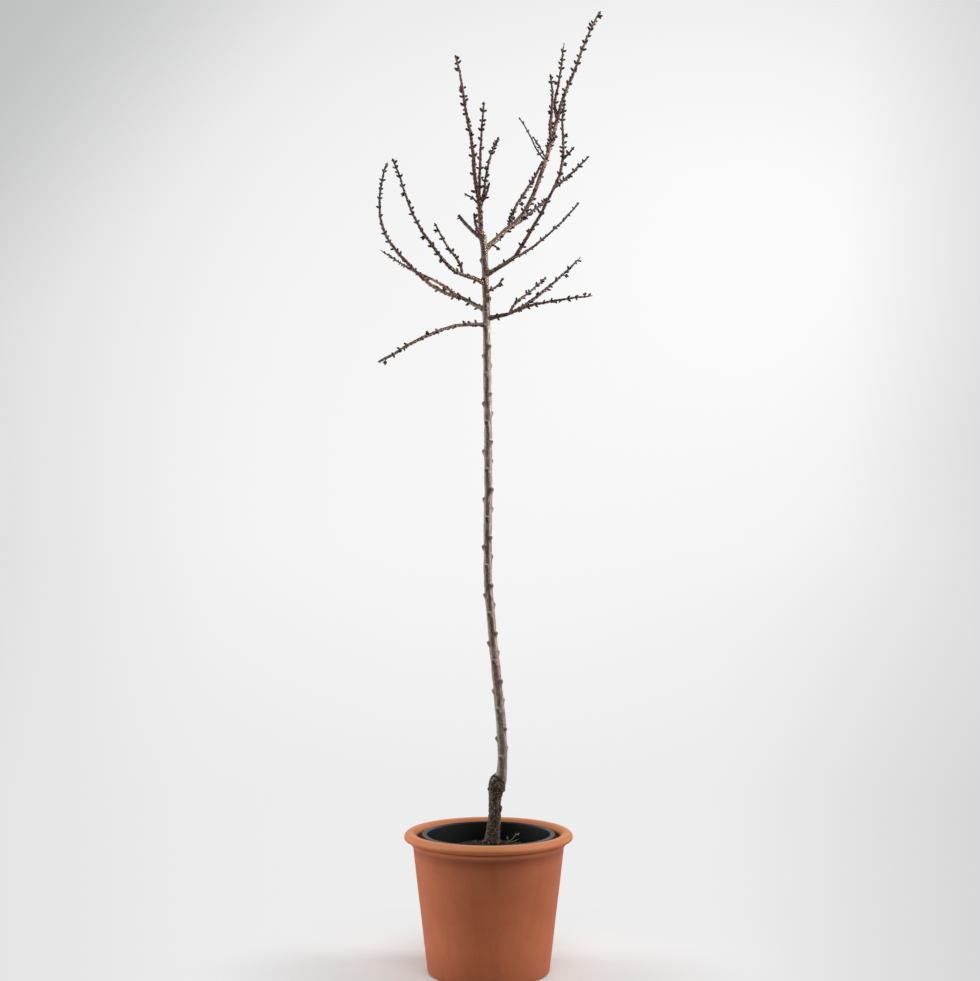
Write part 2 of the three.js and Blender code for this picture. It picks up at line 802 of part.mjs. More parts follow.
const CLAY = { color: 0xb4704c, roughness: 0.8, metalness: 0 };
const BLACK_PLASTIC = { color: 0x1c1d1d, roughness: 0.45, metalness: 0 };
const COMPOST = { color: 0x33281f, roughness: 0.95, metalness: 0 };
const BARK = { color: 0x6b5a4d, roughness: 0.85, metalness: 0 };
const YOUNG_BARK = { color: 0x6a4a3c, roughness: 0.75, metalness: 0 };
const SHOOT_BARK = { color: 0x4f3a35, roughness: 0.7, metalness: 0 };

const tree = new THREE.Group();
tree.add(meshOf('terracotta_pot', terracottaPot(), CLAY));
tree.add(meshOf('nursery_container', nurseryContainer(), BLACK_PLASTIC));
tree.add(meshOf('potting_soil', pottingSoil(), COMPOST));
tree.add(meshOf('trunk', fused([...trunkParts(0), ...KNOBS.map(knobSolid)]), BARK));
for (const [node, solid] of crownSolids()) {
  tree.add(meshOf(node, solid, node.startsWith('bough') ? YOUNG_BARK : SHOOT_BARK));
}

export default tree;
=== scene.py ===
import math

import bmesh
import bpy
import numpy as np
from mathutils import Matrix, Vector, noise


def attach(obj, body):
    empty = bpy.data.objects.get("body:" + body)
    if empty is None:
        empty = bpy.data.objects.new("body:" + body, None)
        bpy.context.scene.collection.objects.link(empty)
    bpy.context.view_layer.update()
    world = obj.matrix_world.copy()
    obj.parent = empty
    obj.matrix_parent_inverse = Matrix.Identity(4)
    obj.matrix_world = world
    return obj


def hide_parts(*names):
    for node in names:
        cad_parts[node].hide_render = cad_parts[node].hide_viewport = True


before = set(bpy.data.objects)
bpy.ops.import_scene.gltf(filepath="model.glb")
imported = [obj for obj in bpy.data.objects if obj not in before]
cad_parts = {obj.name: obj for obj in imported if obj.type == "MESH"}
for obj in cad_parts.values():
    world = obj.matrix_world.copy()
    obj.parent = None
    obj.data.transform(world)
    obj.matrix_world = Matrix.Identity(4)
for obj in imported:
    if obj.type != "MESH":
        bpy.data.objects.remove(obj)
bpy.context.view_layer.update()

# Terracotta pot: one thrown wall of unglazed clay, with a small bead under a rolled rim and
# three drain holes. It is turned from its profile, left a little uneven as clay is, and
# drilled. Sizes are in millimetres, as throughout, until a mesh is made.
MM = 0.001
POT_SIDES = 208
POT_FOOT = (127.3, 8)
POT_SHOULDER = (156.3, 257.5)
POT_BEAD = {"at": (153.4, 267), "radius": 6.4}
POT_GROOVE = (159.2, 272.7)
POT_ROLL = {"at": (162, 279.5), "radius": 13, "under": 6, "over": 12}
POT_WALL = 11.5
POT_FLOOR = 15
DRAINS = {"radius": 6.5, "circle": 60, "turns": (90, 210, 330)}


def arc(at, radius, start, end, steps, rise=None):
    """Round stretch of a profile, which is oval where its rise differs."""
    angles = np.radians(np.linspace(start, end, steps + 1))
    up = radius if rise is None else rise
    return np.column_stack((at[0] + radius * np.cos(angles), at[1] + up * np.sin(angles)))


def run(start, end, steps):
    """Straight stretch of a profile without its two ends."""
    return np.linspace(start, end, steps + 1)[1:-1]


def closed_faces(rings, sides):
    """Faces of a tube of rings, and of the fans that close it on two further points."""
    last = rings * sides
    faces = []
    for side in range(sides):
        after = (side + 1) % sides
        faces.append((last, after, side))
        faces.append((last + 1, last - sides + side, last - sides + after))
        for ring in range(0, last - sides, sides):
            faces.append((ring + side, ring + after, ring + sides + after, ring + sides + side))
    return faces


def turned(profile, sides, uneven=None):
    """Points and faces of a closed shape turned about the upright axis."""
    angles = np.linspace(0, 2 * math.pi, sides, endpoint=False)
    grid = np.empty((len(profile) - 2, sides, 3))
    grid[..., 0] = profile[1:-1, :1] * np.cos(angles)
    grid[..., 1] = profile[1:-1, :1] * np.sin(angles)
    grid[..., 2] = profile[1:-1, 1:]
    if uneven:
        for point in grid.reshape(-1, 3):
            uneven(point)
    ends = np.array(((0, 0, profile[0][1]), (0, 0, profile[-1][1])))
    return np.vstack((grid.reshape(-1, 3), ends)), closed_faces(len(profile) - 2, sides)


def placed(name, data):
    """New object of a mesh, a camera or a lamp."""
    made = bpy.data.objects.new(name, data)
    bpy.context.scene.collection.objects.link(made)
    return made


def smoothed(mesh, is_smooth=True):
    """Shades all faces of a mesh smooth, or flat."""
    mesh.polygons.foreach_set("use_smooth", [is_smooth] * len(mesh.polygons))


def piece(name, points, faces, material):
    """Smooth object with its place in its mesh and its faces turned outwards."""
    mesh = bpy.data.meshes.new(name)
    mesh.from_pydata(np.asarray(points) * MM, [], faces)
    form = bmesh.new()
    form.from_mesh(mesh)
    bmesh.ops.recalc_face_normals(form, faces=form.faces)
    form.to_mesh(mesh)
    form.free()
    smoothed(mesh)
    mesh.materials.append(material)
    return placed(name, mesh)


def settle(made):
    """Turns an object's modifiers into plain mesh and takes them off."""
    shown = made.evaluated_get(bpy.context.evaluated_depsgraph_get())
    mesh = bpy.data.meshes.new_from_object(shown)
    made.modifiers.clear()
    made.data = mesh
    mesh.name = made.name


def stands_for(made, slot, *nodes):
    """Fixes a piece to the plant's one body and hides the solids it replaces. The slot of its finish is
    not used.
    """
    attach(made, "root")
    if nodes:
        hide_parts(*nodes)


def tone(red, green, blue):
    """Shader colour of a colour that is measured from 0 to 255."""
    shares = [c / 255 for c in (red, green, blue)]
    return (*(c / 12.92 if c <= 0.04045 else ((c + 0.055) / 1.055) ** 2.4 for c in shares), 1)


def grey(level):
    """Shader colour that is the same in all its parts."""
    return level, level, level, 1


def feed(tree, value, socket):
    """Gives a socket a value, a node's first output or any output."""
    if isinstance(value, bpy.types.Node):
        value = value.outputs[0]
    if isinstance(value, bpy.types.NodeSocket):
        tree.links.new(value, socket)
    else:
        socket.default_value = value


def add(tree, kind, feeds=(), **settings):
    """Node with its settings and what its inputs are fed."""
    node = tree.nodes.new(kind)
    for key, value in settings.items():
        setattr(node, key, value)
    for key, value in dict(feeds).items():
        feed(tree, value, node.inputs[key])
    return node


def finish(name, roughness, specular):
    """New material: its tree, its shader and the place on the piece that patterns read."""
    made = bpy.data.materials.new(name)
    made.use_nodes = True
    shader = made.node_tree.nodes["Principled BSDF"]
    shader.inputs["Roughness"].default_value = roughness
    shader.inputs["Specular IOR Level"].default_value = specular
    place = add(made.node_tree, "ShaderNodeTexCoord").outputs["Object"]
    return made, made.node_tree, shader, place


def parts_of(tree, place):
    """The three parts of a place or a direction."""
    return add(tree, "ShaderNodeSeparateXYZ", {0: place}).outputs


def stretched(tree, place, scale):
    """Place with each of its axes scaled, so that a pattern is drawn out along one."""
    return add(tree, "ShaderNodeMapping", {"Vector": place, "Scale": scale})


def grain(tree, place, scale, detail=4, roughness=0.55):
    """Noise from 0 to 1 with so many waves to a metre."""
    feeds = {"Vector": place, "Scale": scale, "Detail": detail, "Roughness": roughness}
    return add(tree, "ShaderNodeTexNoise", feeds)


def ramp(tree, factor, *stops):
    """Colours at their places from 0 to 1."""
    node = add(tree, "ShaderNodeValToRGB", {"Fac": factor})
    for _ in range(len(stops) - 2):
        node.color_ramp.elements.new(0.5)
    for element, (position, colour) in zip(node.color_ramp.elements, stops):
        element.position = position
        element.color = colour
    return node


def share(tree, value, low, high, most=1, kind="LINEAR"):
    """Value carried from a range to 0 and the most, and held there."""
    feeds = {"Value": value, "From Min": low, "From Max": high, "To Max": most}
    return add(tree, "ShaderNodeMapRange", feeds, interpolation_type=kind)


def product(tree, first, second):
    """Two numbers multiplied."""
    return add(tree, "ShaderNodeMath", {0: first, 1: second}, operation="MULTIPLY")


def mixed(tree, factor, first, second, blend="MIX"):
    """Two colours mixed."""
    feeds = {0: factor, 6: first, 7: second}
    return add(tree, "ShaderNodeMix", feeds, data_type="RGBA", blend_type=blend).outputs[2]


def coated(tree, colour, *coats):
    """Colour with others laid over it in turn, each by its share."""
    for amount, over in coats:
        colour = mixed(tree, amount, colour, over)
    return colour


def dress(tree, shader, colour, *layers):
    """Gives a shader its colour, and bump in layers of a height from 0 to 1 and its size."""
    feed(tree, colour, shader.inputs["Base Color"])
    above = shader
    for height, depth in reversed(layers):
        bump = add(tree, "ShaderNodeBump", {"Height": height, "Distance": depth})
        feed(tree, bump, above.inputs["Normal"])
        above = bump


clay, tree, shader, place = finish("unglazed_clay", 0.68, 0.2)
_, depth, height = parts_of(tree, place)
clouds = grain(tree, place, 9, 5, 0.6)
bloom = share(tree, grain(tree, place, 22, 6, 0.7), 0.62, 0.95)
drawn = share(tree, grain(tree, stretched(tree, place, (1, 1, 0.12)), 30, 4, 0.6), 0.5, 0.75, 0.5)
# Paler roll: partly paler, yellower clay and partly painted light on its front
paler_rim_and_painted_light = share(tree, height, 0.2785, 0.2838, 0.6)
# Painted highlight along the top of the rim
painted_crest_highlight = share(tree, height, 0.289, 0.2915, 0.28)
# Painted highlight on the bead and the roll, on the front side only
painted_front_highlight = ramp(
    tree, share(tree, height, 0.26, 0.29), (0.1, grey(0)), (0.25, grey(0.8)), (0.42, grey(0)),
    (0.66, grey(0.15)), (0.8, grey(0.72)), (0.95, grey(0.55)), (1, grey(0)),
)
painted_front_highlight = product(tree, painted_front_highlight, share(tree, depth, -0.1, -0.172))
# Painted shade under the bead
painted_shade_under_bead = ramp(
    tree, share(tree, height, 0.24, 0.264), (0, grey(0)), (0.75, grey(0.45)), (0.95, grey(0)),
)
# Darker towards the foot
darker_towards_foot = share(tree, height, 0.07, 0, 0.3)
specks = share(tree, grain(tree, place, 420, 2), 0.7, 0.78)
colour = coated(
    tree, ramp(tree, clouds, (0.3, tone(174, 96, 61)), (0.7, tone(188, 107, 70))),
    (bloom, tone(200, 126, 92)), (drawn, tone(166, 84, 52)), (paler_rim_and_painted_light, tone(220, 140, 90)),
    (painted_crest_highlight, tone(244, 196, 160)), (painted_front_highlight, tone(248, 166, 114)), (painted_shade_under_bead, tone(120, 58, 44)),
    (darker_towards_foot, tone(128, 74, 50)), (specks, tone(120, 66, 44)),
)
turning = grain(tree, stretched(tree, place, (1, 1, 60)), 4, 3)
sand = grain(tree, place, 900, 3, 0.7)
dress(tree, shader, colour, (clouds, 0.0008), (turning, 0.0003), (sand, 0.00012))


def hand_thrown(point):
    """Moves a point of the pot in or out a little."""
    outward = 0.35 * noise.noise(Vector(point) / 70) + 0.12 * noise.noise(Vector(point) / 16)
    point[:2] *= 1 + outward / math.hypot(*point[:2])


inner_top = POT_SHOULDER[0] - POT_WALL
flare = (POT_SHOULDER[0] - POT_FOOT[0]) / (POT_SHOULDER[1] - POT_FOOT[1])
inner_foot = inner_top - flare * (POT_SHOULDER[1] - POT_FLOOR)
profile = np.vstack((
    (0, 0),
    arc((POT_FOOT[0] - 8, 8), 8, -90, 0, 8),
    run(POT_FOOT, POT_SHOULDER, 56),
    arc(POT_BEAD["at"], POT_BEAD["radius"], -60, 42, 12),
    POT_GROOVE,
    arc(POT_ROLL["at"], POT_ROLL["radius"], -100, 0, 16, POT_ROLL["under"]),
    arc(POT_ROLL["at"], POT_ROLL["radius"], 6, 200, 30, POT_ROLL["over"]),
    run((inner_top, POT_SHOULDER[1] + 8), (inner_foot, POT_FLOOR + 10), 24),
    arc((inner_foot - 10, POT_FLOOR + 10), 10, 0, -90, 6),
    (0, POT_FLOOR),
))
terracotta_pot = piece("terracotta_pot_dressed", *turned(profile, POT_SIDES, hand_thrown), clay)
for turn in np.radians(DRAINS["turns"]):
    bore = np.array(((0, -9), (DRAINS["radius"], -9), (DRAINS["radius"], 30), (0, 30)))
    points, faces = turned(bore, 32)
    points[:, :2] += DRAINS["circle"] * np.array((math.cos(turn), math.sin(turn)))
    drill = piece("drill", points, faces, clay)
    cut = terracotta_pot.modifiers.new("drain_hole", "BOOLEAN")
    cut.object = drill
    cut.operation = "DIFFERENCE"
    settle(terracotta_pot)
    bpy.data.objects.remove(drill)
stands_for(terracotta_pot, "terracotta", "terracotta_pot")

# Nursery container: thin blow-moulded black plastic, with a broad lip that turns down at its
# edge. It is turned from its profile and stands on the pot's floor. Its lip is paler grey at the
# front and sides, partly scuffs from handling and partly a painted highlight.
TUB_SIDES = 176
TUB_FOOT = 15.3
TUB_TOP = 286.7

plastic, tree, shader, place = finish("nursery_plastic", 0.62, 0.1)
_, depth, height = parts_of(tree, place)
lip = share(tree, height, (TUB_TOP - 4) * MM, TUB_TOP * MM)
# Paler lip at the front and sides: partly scuffs and partly a painted highlight
lip_scuffs_and_painted_highlight = product(tree, lip, share(tree, depth, 0.13, 0.05))
streaks = grain(tree, stretched(tree, place, (1, 1, 0.12)), 90, 4, 0.7)
dust = grain(tree, place, 30, 6, 0.65)
colour = coated(
    tree, ramp(tree, dust, (0.35, tone(20, 22, 22)), (0.8, tone(29, 31, 31))),
    (lip_scuffs_and_painted_highlight, tone(102, 103, 105)), (share(tree, streaks, 0.66, 0.85, 0.7), tone(60, 57, 54)),
)
dress(tree, shader, colour, (grain(tree, place, 25, 3), 0.002), (grain(tree, place, 700), 0.00006))


def blown(point):
    """Moves a point of the thin wall in or out a little, most at the lip."""
    spot = Vector((point[0], point[1], point[2] / 3)) / 60
    outward = 0.5 * noise.noise(spot) * point[2] / TUB_TOP
    point[:2] *= 1 + outward / math.hypot(*point[:2])


profile = np.vstack((
    (0, TUB_FOOT),
    arc((103, TUB_FOOT + 3), 3, -90, 0, 5),
    run((106, TUB_FOOT + 3), (129, TUB_TOP - 4), 36),
    (129, TUB_TOP - 4),
    (136, TUB_TOP - 4),
    (136.5, TUB_TOP - 8.6),
    arc((137.9, TUB_TOP - 8.4), 0.6, -120, 0, 3),
    arc((135.4, TUB_TOP - 3.1), 3.1, 0, 110, 7),
    (132.6, TUB_TOP - 1.3),
    arc((130.9, TUB_TOP - 2.4), 2.4, 70, 180, 6),
    run((127, TUB_TOP - 9), (104, TUB_FOOT + 2.5), 36),
    (104, TUB_FOOT + 2.5),
    (0, TUB_FOOT + 2.5),
))
nursery_container = piece("nursery_container_dressed", *turned(profile, TUB_SIDES, blown), plastic)
stands_for(nursery_container, "black_plastic", "nursery_container")

# Potting soil: damp bark compost that fills the container and mounds up to the trunk. It is a
# turned plug with a lumpy top, under crumbs and bark chips that Geometry Nodes scatter.
SOIL_EDGE = (123.6, 242)
SOIL_CROWN = 264
SOIL_SEAT = 24
SOIL_BOTTOM = (103.6, 18.1)
SOIL_SIDES = 200
SOIL_RINGS = 66
TRUNK_FOOT = (7, 10)

compost, tree, shader, place = finish("bark_compost", 0.93, 0.2)
clods = grain(tree, place, 160, 6, 0.7)
colour = ramp(tree, clods, (0.3, tone(22, 17, 14)), (0.75, tone(62, 46, 36)))
dress(tree, shader, colour, (clods, 0.003), (grain(tree, place, 700, 4, 0.7), 0.0008))


def mounded(point):
    """Shifts a point of the soil's top towards the trunk's foot and makes it lumpy."""
    if point[2] > SOIL_EDGE[1] - 1:
        inward = 1 - math.hypot(*point[:2]) / SOIL_EDGE[0]
        point[:2] += np.array(TRUNK_FOOT) * inward
        spot = Vector(point)
        rough = sum(depth * noise.noise(spot / size) for depth, size in ((2.2, 14), (1.4, 5), (0.8, 2)))
        point[2] += rough * min(1, 12 * inward)


shares = np.linspace(0, 1, SOIL_RINGS + 1)
climb = np.minimum(1, shares * SOIL_EDGE[0] / (SOIL_EDGE[0] - SOIL_SEAT))
rises = SOIL_EDGE[1] + (SOIL_CROWN - SOIL_EDGE[1]) * climb ** 0.66
mound = np.column_stack((SOIL_EDGE[0] * (1 - shares) + 0.01, rises))
profile = np.vstack(((0, SOIL_BOTTOM[1]), SOIL_BOTTOM, mound, (0, SOIL_CROWN)))
points, faces = turned(profile, SOIL_SIDES, mounded)
points[-1] = points[-SOIL_SIDES - 2:-2].mean(axis=0)
potting_soil = piece("potting_soil_dressed", points, faces, compost)

BROKEN_BARK = {
    "sheen": (0.85, 0.3), "wander": (120, 5, 0.7), "stops": (0.32, 0.7), "pits": (900, 4, 0.7),
    "depth": 0.0004,
}


def dappled(name, dark, light, sheen, wander, stops, pits, depth):
    """Finish whose colour wanders between two tones, over small pits."""
    made, tree, shader, place = finish(name, *sheen)
    wandering = grain(tree, place, *wander)
    colour = ramp(tree, wandering, (stops[0], tone(*dark)), (stops[1], tone(*light)))
    dress(tree, shader, colour, (grain(tree, place, *pits), depth))
    return made


def vectors(tree, operation, *values):
    """Outputs of a sum of vectors."""
    return add(tree, "ShaderNodeVectorMath", dict(enumerate(values)), operation=operation).outputs


def nodes_for(name, *sockets):
    """New Geometry Nodes tree with a mesh in, named inputs and a mesh out."""
    tree = bpy.data.node_groups.new(name, "GeometryNodeTree")
    tree.interface.new_socket("Mesh", in_out="INPUT", socket_type="NodeSocketGeometry")
    tree.interface.new_socket("Mesh", in_out="OUTPUT", socket_type="NodeSocketGeometry")
    for label, kind in sockets:
        tree.interface.new_socket(label, in_out="INPUT", socket_type="NodeSocket" + kind)
    return tree, add(tree, "NodeGroupInput").outputs, add(tree, "NodeGroupOutput").inputs


def grown(made, tree, **values):
    """Runs a tree of nodes on an object's mesh once, and takes it off again."""
    grower = made.modifiers.new(tree.name, "NODES")
    grower.node_group = tree
    for item in tree.interface.items_tree:
        if item.in_out == "INPUT" and item.name in values:
            grower[item.identifier] = values[item.name]
    settle(made)


def set_out(tree, points, form, turn, size):
    """Copies of a form on points, made plain mesh."""
    copies = add(tree, "GeometryNodeInstanceOnPoints", {
        "Points": points, "Instance": form, "Rotation": turn, "Scale": size,
    })
    return add(tree, "GeometryNodeRealizeInstances", {"Geometry": copies})


def drawn_between(tree, low, high, seed):
    """Vector drawn at random for each copy."""
    feeds = {"Min": low, "Max": high, "Seed": seed}
    return add(tree, "FunctionNodeRandomValue", feeds, data_type="FLOAT_VECTOR")


scatter, inputs, ends = nodes_for(
    "scatter_crumbs", ("Density", "Float"), ("Smallest", "Vector"), ("Largest", "Vector"),
    ("Above", "Float"), ("Rounding", "Int"), ("Seed", "Int"), ("Finish", "Material"),
)
facing = parts_of(scatter, add(scatter, "GeometryNodeInputNormal"))["Z"]
height = parts_of(scatter, add(scatter, "GeometryNodeInputPosition"))["Z"]
is_up = add(scatter, "FunctionNodeCompare", {"A": facing, "B": 0.4})
is_top = add(scatter, "FunctionNodeCompare", {"A": height, "B": inputs["Above"]})
is_open = add(scatter, "FunctionNodeBooleanMath", {0: is_up, 1: is_top})
strewn = add(scatter, "GeometryNodeDistributePointsOnFaces", {
    "Mesh": inputs["Mesh"], "Selection": is_open, "Density": inputs["Density"],
    "Seed": inputs["Seed"],
})
size = drawn_between(scatter, inputs["Smallest"], inputs["Largest"], inputs["Seed"])
turn = drawn_between(scatter, (-0.5, -0.5, 0), (0.5, 0.5, 6.28), inputs["Seed"])
crumb = add(
    scatter, "GeometryNodeMeshIcoSphere", {"Radius": 0.5, "Subdivisions": inputs["Rounding"]}
)
dent = add(scatter, "ShaderNodeTexNoise", {"Scale": 1.6, "Detail": 2}).outputs["Color"]
dent = vectors(scatter, "SUBTRACT", dent, (0.5, 0.5, 0.5))[0]
crumb = add(scatter, "GeometryNodeSetPosition", {"Geometry": crumb, "Offset": dent})
laid = add(scatter, "GeometryNodeSetMaterial", {
    "Geometry": set_out(scatter, strewn, crumb, turn, size), "Material": inputs["Finish"],
})
feed(scatter, laid, ends[0])

# Each kind of crumb: how many to a square metre, its smallest and largest size, how round it
# is, its seed and its finish
CRUMBS = {
    "soil_crumbs": (
        52000, (1.4, 1.2, 1), (3.4, 3, 2.4), 1, 11, ("crumb_brown", (32, 25, 22), (80, 63, 54)),
    ),
    "bark_chips": (
        7000, (4, 2, 1.2), (11, 5, 2.6), 2, 12, ("chip_brown", (42, 31, 26), (94, 72, 60)),
    ),
    "pale_fibres": (
        2600, (6, 0.6, 0.5), (15, 1.2, 0.9), 2, 13, ("fibre_tan", (88, 76, 52), (150, 134, 96)),
    ),
}
for name, (density, smallest, largest, rounding, seed, tones) in CRUMBS.items():
    strewn = placed(name, potting_soil.data.copy())
    grown(
        strewn, scatter, Density=density, Smallest=np.array(smallest) * MM,
        Largest=np.array(largest) * MM, Above=SOIL_EDGE[1] * MM, Rounding=rounding, Seed=seed,
        Finish=dappled(*tones, **BROKEN_BARK),
    )
    stands_for(strewn, "potting_soil")
stands_for(potting_soil, "potting_soil", "potting_soil")

# Trunk and boughs: live wood under bark. A rootstock that was cut off aslant carries the scion,
# which bears the boughs and the leader. They are tubes, grown by the same rule as the solids,
# that are made one skin and given the relief of their bark.
TURN = 144
KINK = 3.2
BOUGH_INTERNODE = 25
FIRST_SEED = 100
STUMP_SEED = 99
EYE_SPACING = 19.85
EYE_LEFT_AT = 1179.6
EYES_FROM = 430
EYES_TO = 1484
STOCK_TOP = 420
SKIN_VOXEL = 1.2
# Sides round each shell before they are made one skin
SIDES = {"rootstock": 48, "scion": 40, "leader": 32, "bough": 28, "dome": 28, "shoulder": 16}
# Rootstock, scion, leader and stump have the numbers before the first bough's, and the bark's
# pattern is offset from one limb to the next
FIRST_BOUGH = 4
OFFSET = 311
# Each stem: heights, and its middle across and along and its thickness there
ROOTSTOCK = (
    (264.3, 7, 10, 34), (288, 9.5, 9.5, 29.5), (322, 12.5, 8, 26), (350, 12.6, 7, 25),
    (385, 16, 6, 32), (418, 13, 5, 27),
)
SCION = (
    (372, 20, 5, 26), (400, 26, 4, 24), (425, 28.3, 3, 21), (462, 29, 1, 20.6),
    (564, 21.5, -3, 20), (702, 8, -5, 18.2), (830, -1.5, -3, 17.4), (1036, -0.5, 2, 17),
    (1263, -3, 4, 16.4), (1433, -6.5, 4, 14.8), (1529, -10.5, 4, 13.4),
)
LEADER = (
    (1492, -8.5, 4, 11), (1523, -14.5, 4, 10.4), (1566, -17, 5, 10.2), (1602, -19, 6, 10.6),
)
LEADER_LEAVES = 1517
GRAFT_CUT = {"at": (6, 2, 389.5), "azimuth": 225, "slope": 48}
HEALED_TOP = {"at": (13.5, 1, 388), "radius": 13.4, "rise": 20}
SCAR = {"from": (6.6, -9.6, 398), "to": (11.2, -8, 403.8), "radius": 2.6}
SEAM = {"at": (14.4, 0, 406.2), "slope": 0.95}
STUMP = ("trunk", 1520, 20, 18, (8.8, 7.4), (72, 80))
# Height, azimuth, how proud and size of each knob on the rootstock
KNOBS = ((337, 350, 3.2, 5.2), (378, 182, 2.4, 3.6), (352, 205, 1.2, 4), (300, 320, 1.4, 4.4))
# Azimuth, reach and thickness of each shoulder of root that shows at the soil
SHOULDERS = ((196, 22, 8), (243, 20, 6), (305, 21, 7), (15, 20, 7), (80, 23, 8), (140, 21, 7))
HOLLOW = {"at": (-4, -4.5, 272), "radius": 3.6, "depth": 3.4}
# Each bough: what it leaves, where on it, azimuth, length, thickness at both ends, rises, and
# its bark's tones at both ends
BOUGHS = {
    "low_left": ("trunk", 1342, 205, 96, (7.6, 6.4), (4, -6, -17), (108, 84, 70), (118, 90, 74)),
    "low_right": ("trunk", 1355, 345, 47, (9, 8), (7, 15, 7), (88, 68, 54), (84, 60, 48)),
    "middle_left": ("trunk", 1374, 145, 68, (9.4, 8.2), (18, 28, 21), (126, 96, 72), (110, 80, 62)),
    "upper_left": ("trunk", 1428, 215, 54, (9, 8), (20, 10), (116, 84, 64), (90, 62, 50)),
    "middle_right": ("trunk", 1445, 320, 86, (9.6, 8.4), (23, 21, 24), (122, 88, 58), (100, 66, 52)),
    "middle_right_upper": (
        "middle_right", 1, 325, 157, (8, 6), (54, 51, 56, 59), (100, 62, 52), (88, 52, 48),
    ),
    "high_right": ("trunk", 1498, 40, 101, (11.6, 10.6), (35, 40, 33), (118, 92, 68), (112, 86, 64)),
    "high_right_upper": ("high_right", 1, 45, 165, (10, 8.4), (36, 59, 67), (98, 72, 56), (92, 62, 52)),
    "pruned_left": ("trunk", 1522, 150, 77, (8.4, 7), (35, 44, 47), (88, 60, 54), (78, 52, 50)),
}


def seeded(seed):
    """Linear congruential numbers from 0 to 1, the same as the solids are grown from."""
    state = seed

    def following():
        nonlocal state
        state = (state * 1664525 + 1013904223) & 0xFFFFFFFF
        return state / 2**32

    return following


def stem_at(stations, height):
    """Smooth middle and radius of an upright stem at a height."""
    table = np.array(stations, float)
    last = len(table) - 1
    i = int(np.clip(np.searchsorted(table[:, 0], height) - 1, 0, last - 1))

    def slope(j):
        low, high = table[max(j - 1, 0)], table[min(j + 1, last)]
        return (high[1:] - low[1:]) / (high[0] - low[0])

    span = table[i + 1, 0] - table[i, 0]
    t = min(1, max(0, (height - table[i, 0]) / span))
    start = (2 * t**3 - 3 * t**2 + 1) * table[i, 1:]
    end = (3 * t**2 - 2 * t**3) * table[i + 1, 1:]
    leave = (t**3 - 2 * t**2 + t) * span * slope(i)
    arrive = (t**3 - t**2) * span * slope(i + 1)
    across, along, thick = start + end + leave + arrive
    return np.array((across, along, height)), thick / 2


def part_way(values, share):
    """Value at a share of the way along an evenly spaced list."""
    return float(np.interp(share * (len(values) - 1), range(len(values)), values))


def axes_of(azimuth, rise):
    """Directions of a limb: along it, and the two across it."""
    a, r = math.radians(azimuth), math.radians(rise)
    forward = np.array((math.cos(r) * math.cos(a), math.cos(r) * math.sin(a), math.sin(r)))
    up = np.array((-math.sin(r) * math.cos(a), -math.sin(r) * math.sin(a), math.cos(r)))
    return forward, np.array((-math.sin(a), math.cos(a), 0)), up


def leaning(axes, turn, lean):
    """Direction that leans away from the limb's own, towards a turn round it."""
    forward, side, up = axes
    t, l = math.radians(turn), math.radians(lean)
    return forward * math.cos(l) + math.sin(l) * (side * math.sin(t) + up * math.cos(t))


class Limb:
    """Limb walked from node to node, as the solids are."""

    def __init__(self, mass, row, parents, internode, seed):
        self.mass = mass
        self.on, at, self.azimuth, self.length, self.thick, self.rises = row
        if self.on in parents:
            start, self.start_radius, _ = parents[self.on].at(at * parents[self.on].length)
        else:
            start, self.start_radius = stem_at(LEADER if at > LEADER_LEAVES else SCION, at)
        self.random = seeded(seed)
        count = max(2, math.floor(self.length / internode + 0.5))
        self.stride = self.length / count
        self.phase = 360 * self.random()
        self.joints = [start]
        for i in range(count):
            ahead = axes_of(self.azimuth, part_way(self.rises, (i + 0.5) / count))
            step = leaning(ahead, self.phase + TURN * i, KINK) * self.stride
            self.joints.append(self.joints[-1] + step)
        self.joints = np.array(self.joints)

    def at(self, distance):
        """Point, radius and directions at a distance along the limb."""
        share = min(1, max(0, distance / self.length))
        place = share * (len(self.joints) - 1)
        point = [np.interp(place, range(len(self.joints)), self.joints[:, k]) for k in range(3)]
        collar = 0.3 * math.exp(-max(0, distance - self.start_radius) / 7)
        swell = 1 + (collar if self.on == "trunk" else 0)
        radius = part_way(self.thick, share) / 2 * swell
        return np.array(point), radius, axes_of(self.azimuth, part_way(self.rises, share))

    def rings(self, step):
        """Rings along the limb."""
        count = max(2, round(self.length / step))
        return [self.at(d) for d in np.linspace(0, self.length, count + 1)]


boughs = {}
for name, row in BOUGHS.items():
    boughs[name] = Limb(name, row[:6], boughs, BOUGH_INTERNODE, FIRST_SEED + len(boughs))
stump = Limb("stump", STUMP, {}, 6, STUMP_SEED)


def tube(rings, sides):
    """Closed tube through rings of a middle, a radius and the limb's directions."""
    turns = np.linspace(0, 360, sides, endpoint=False)
    points = []
    for middle, radius, axes in rings:
        reach = radius(turns) if callable(radius) else np.full(sides, radius)
        points += [middle + leaning(axes, t, 90) * r for t, r in zip(turns, reach)]
    return np.array(points + [rings[0][0], rings[-1][0]]), closed_faces(len(rings), sides)


def stem_rings(stations, step, flare=None):
    """Rings up an upright stem."""
    low, high = stations[0][0], stations[-1][0]
    rings = []
    for height in np.linspace(low, high, round((high - low) / step) + 1):
        middle, radius = stem_at(stations, height)
        rings.append((middle, flare(height, radius) if flare else radius, axes_of(0, 90)))
    return rings


def root_flare(height, radius):
    """Lobed radius of the rootstock's foot, which runs out above it."""
    fade = 0.16 * math.exp((ROOTSTOCK[0][0] - height) / 14)
    return lambda turns: radius * (1 + fade * np.cos(3 * np.radians(180 - turns - 190)))


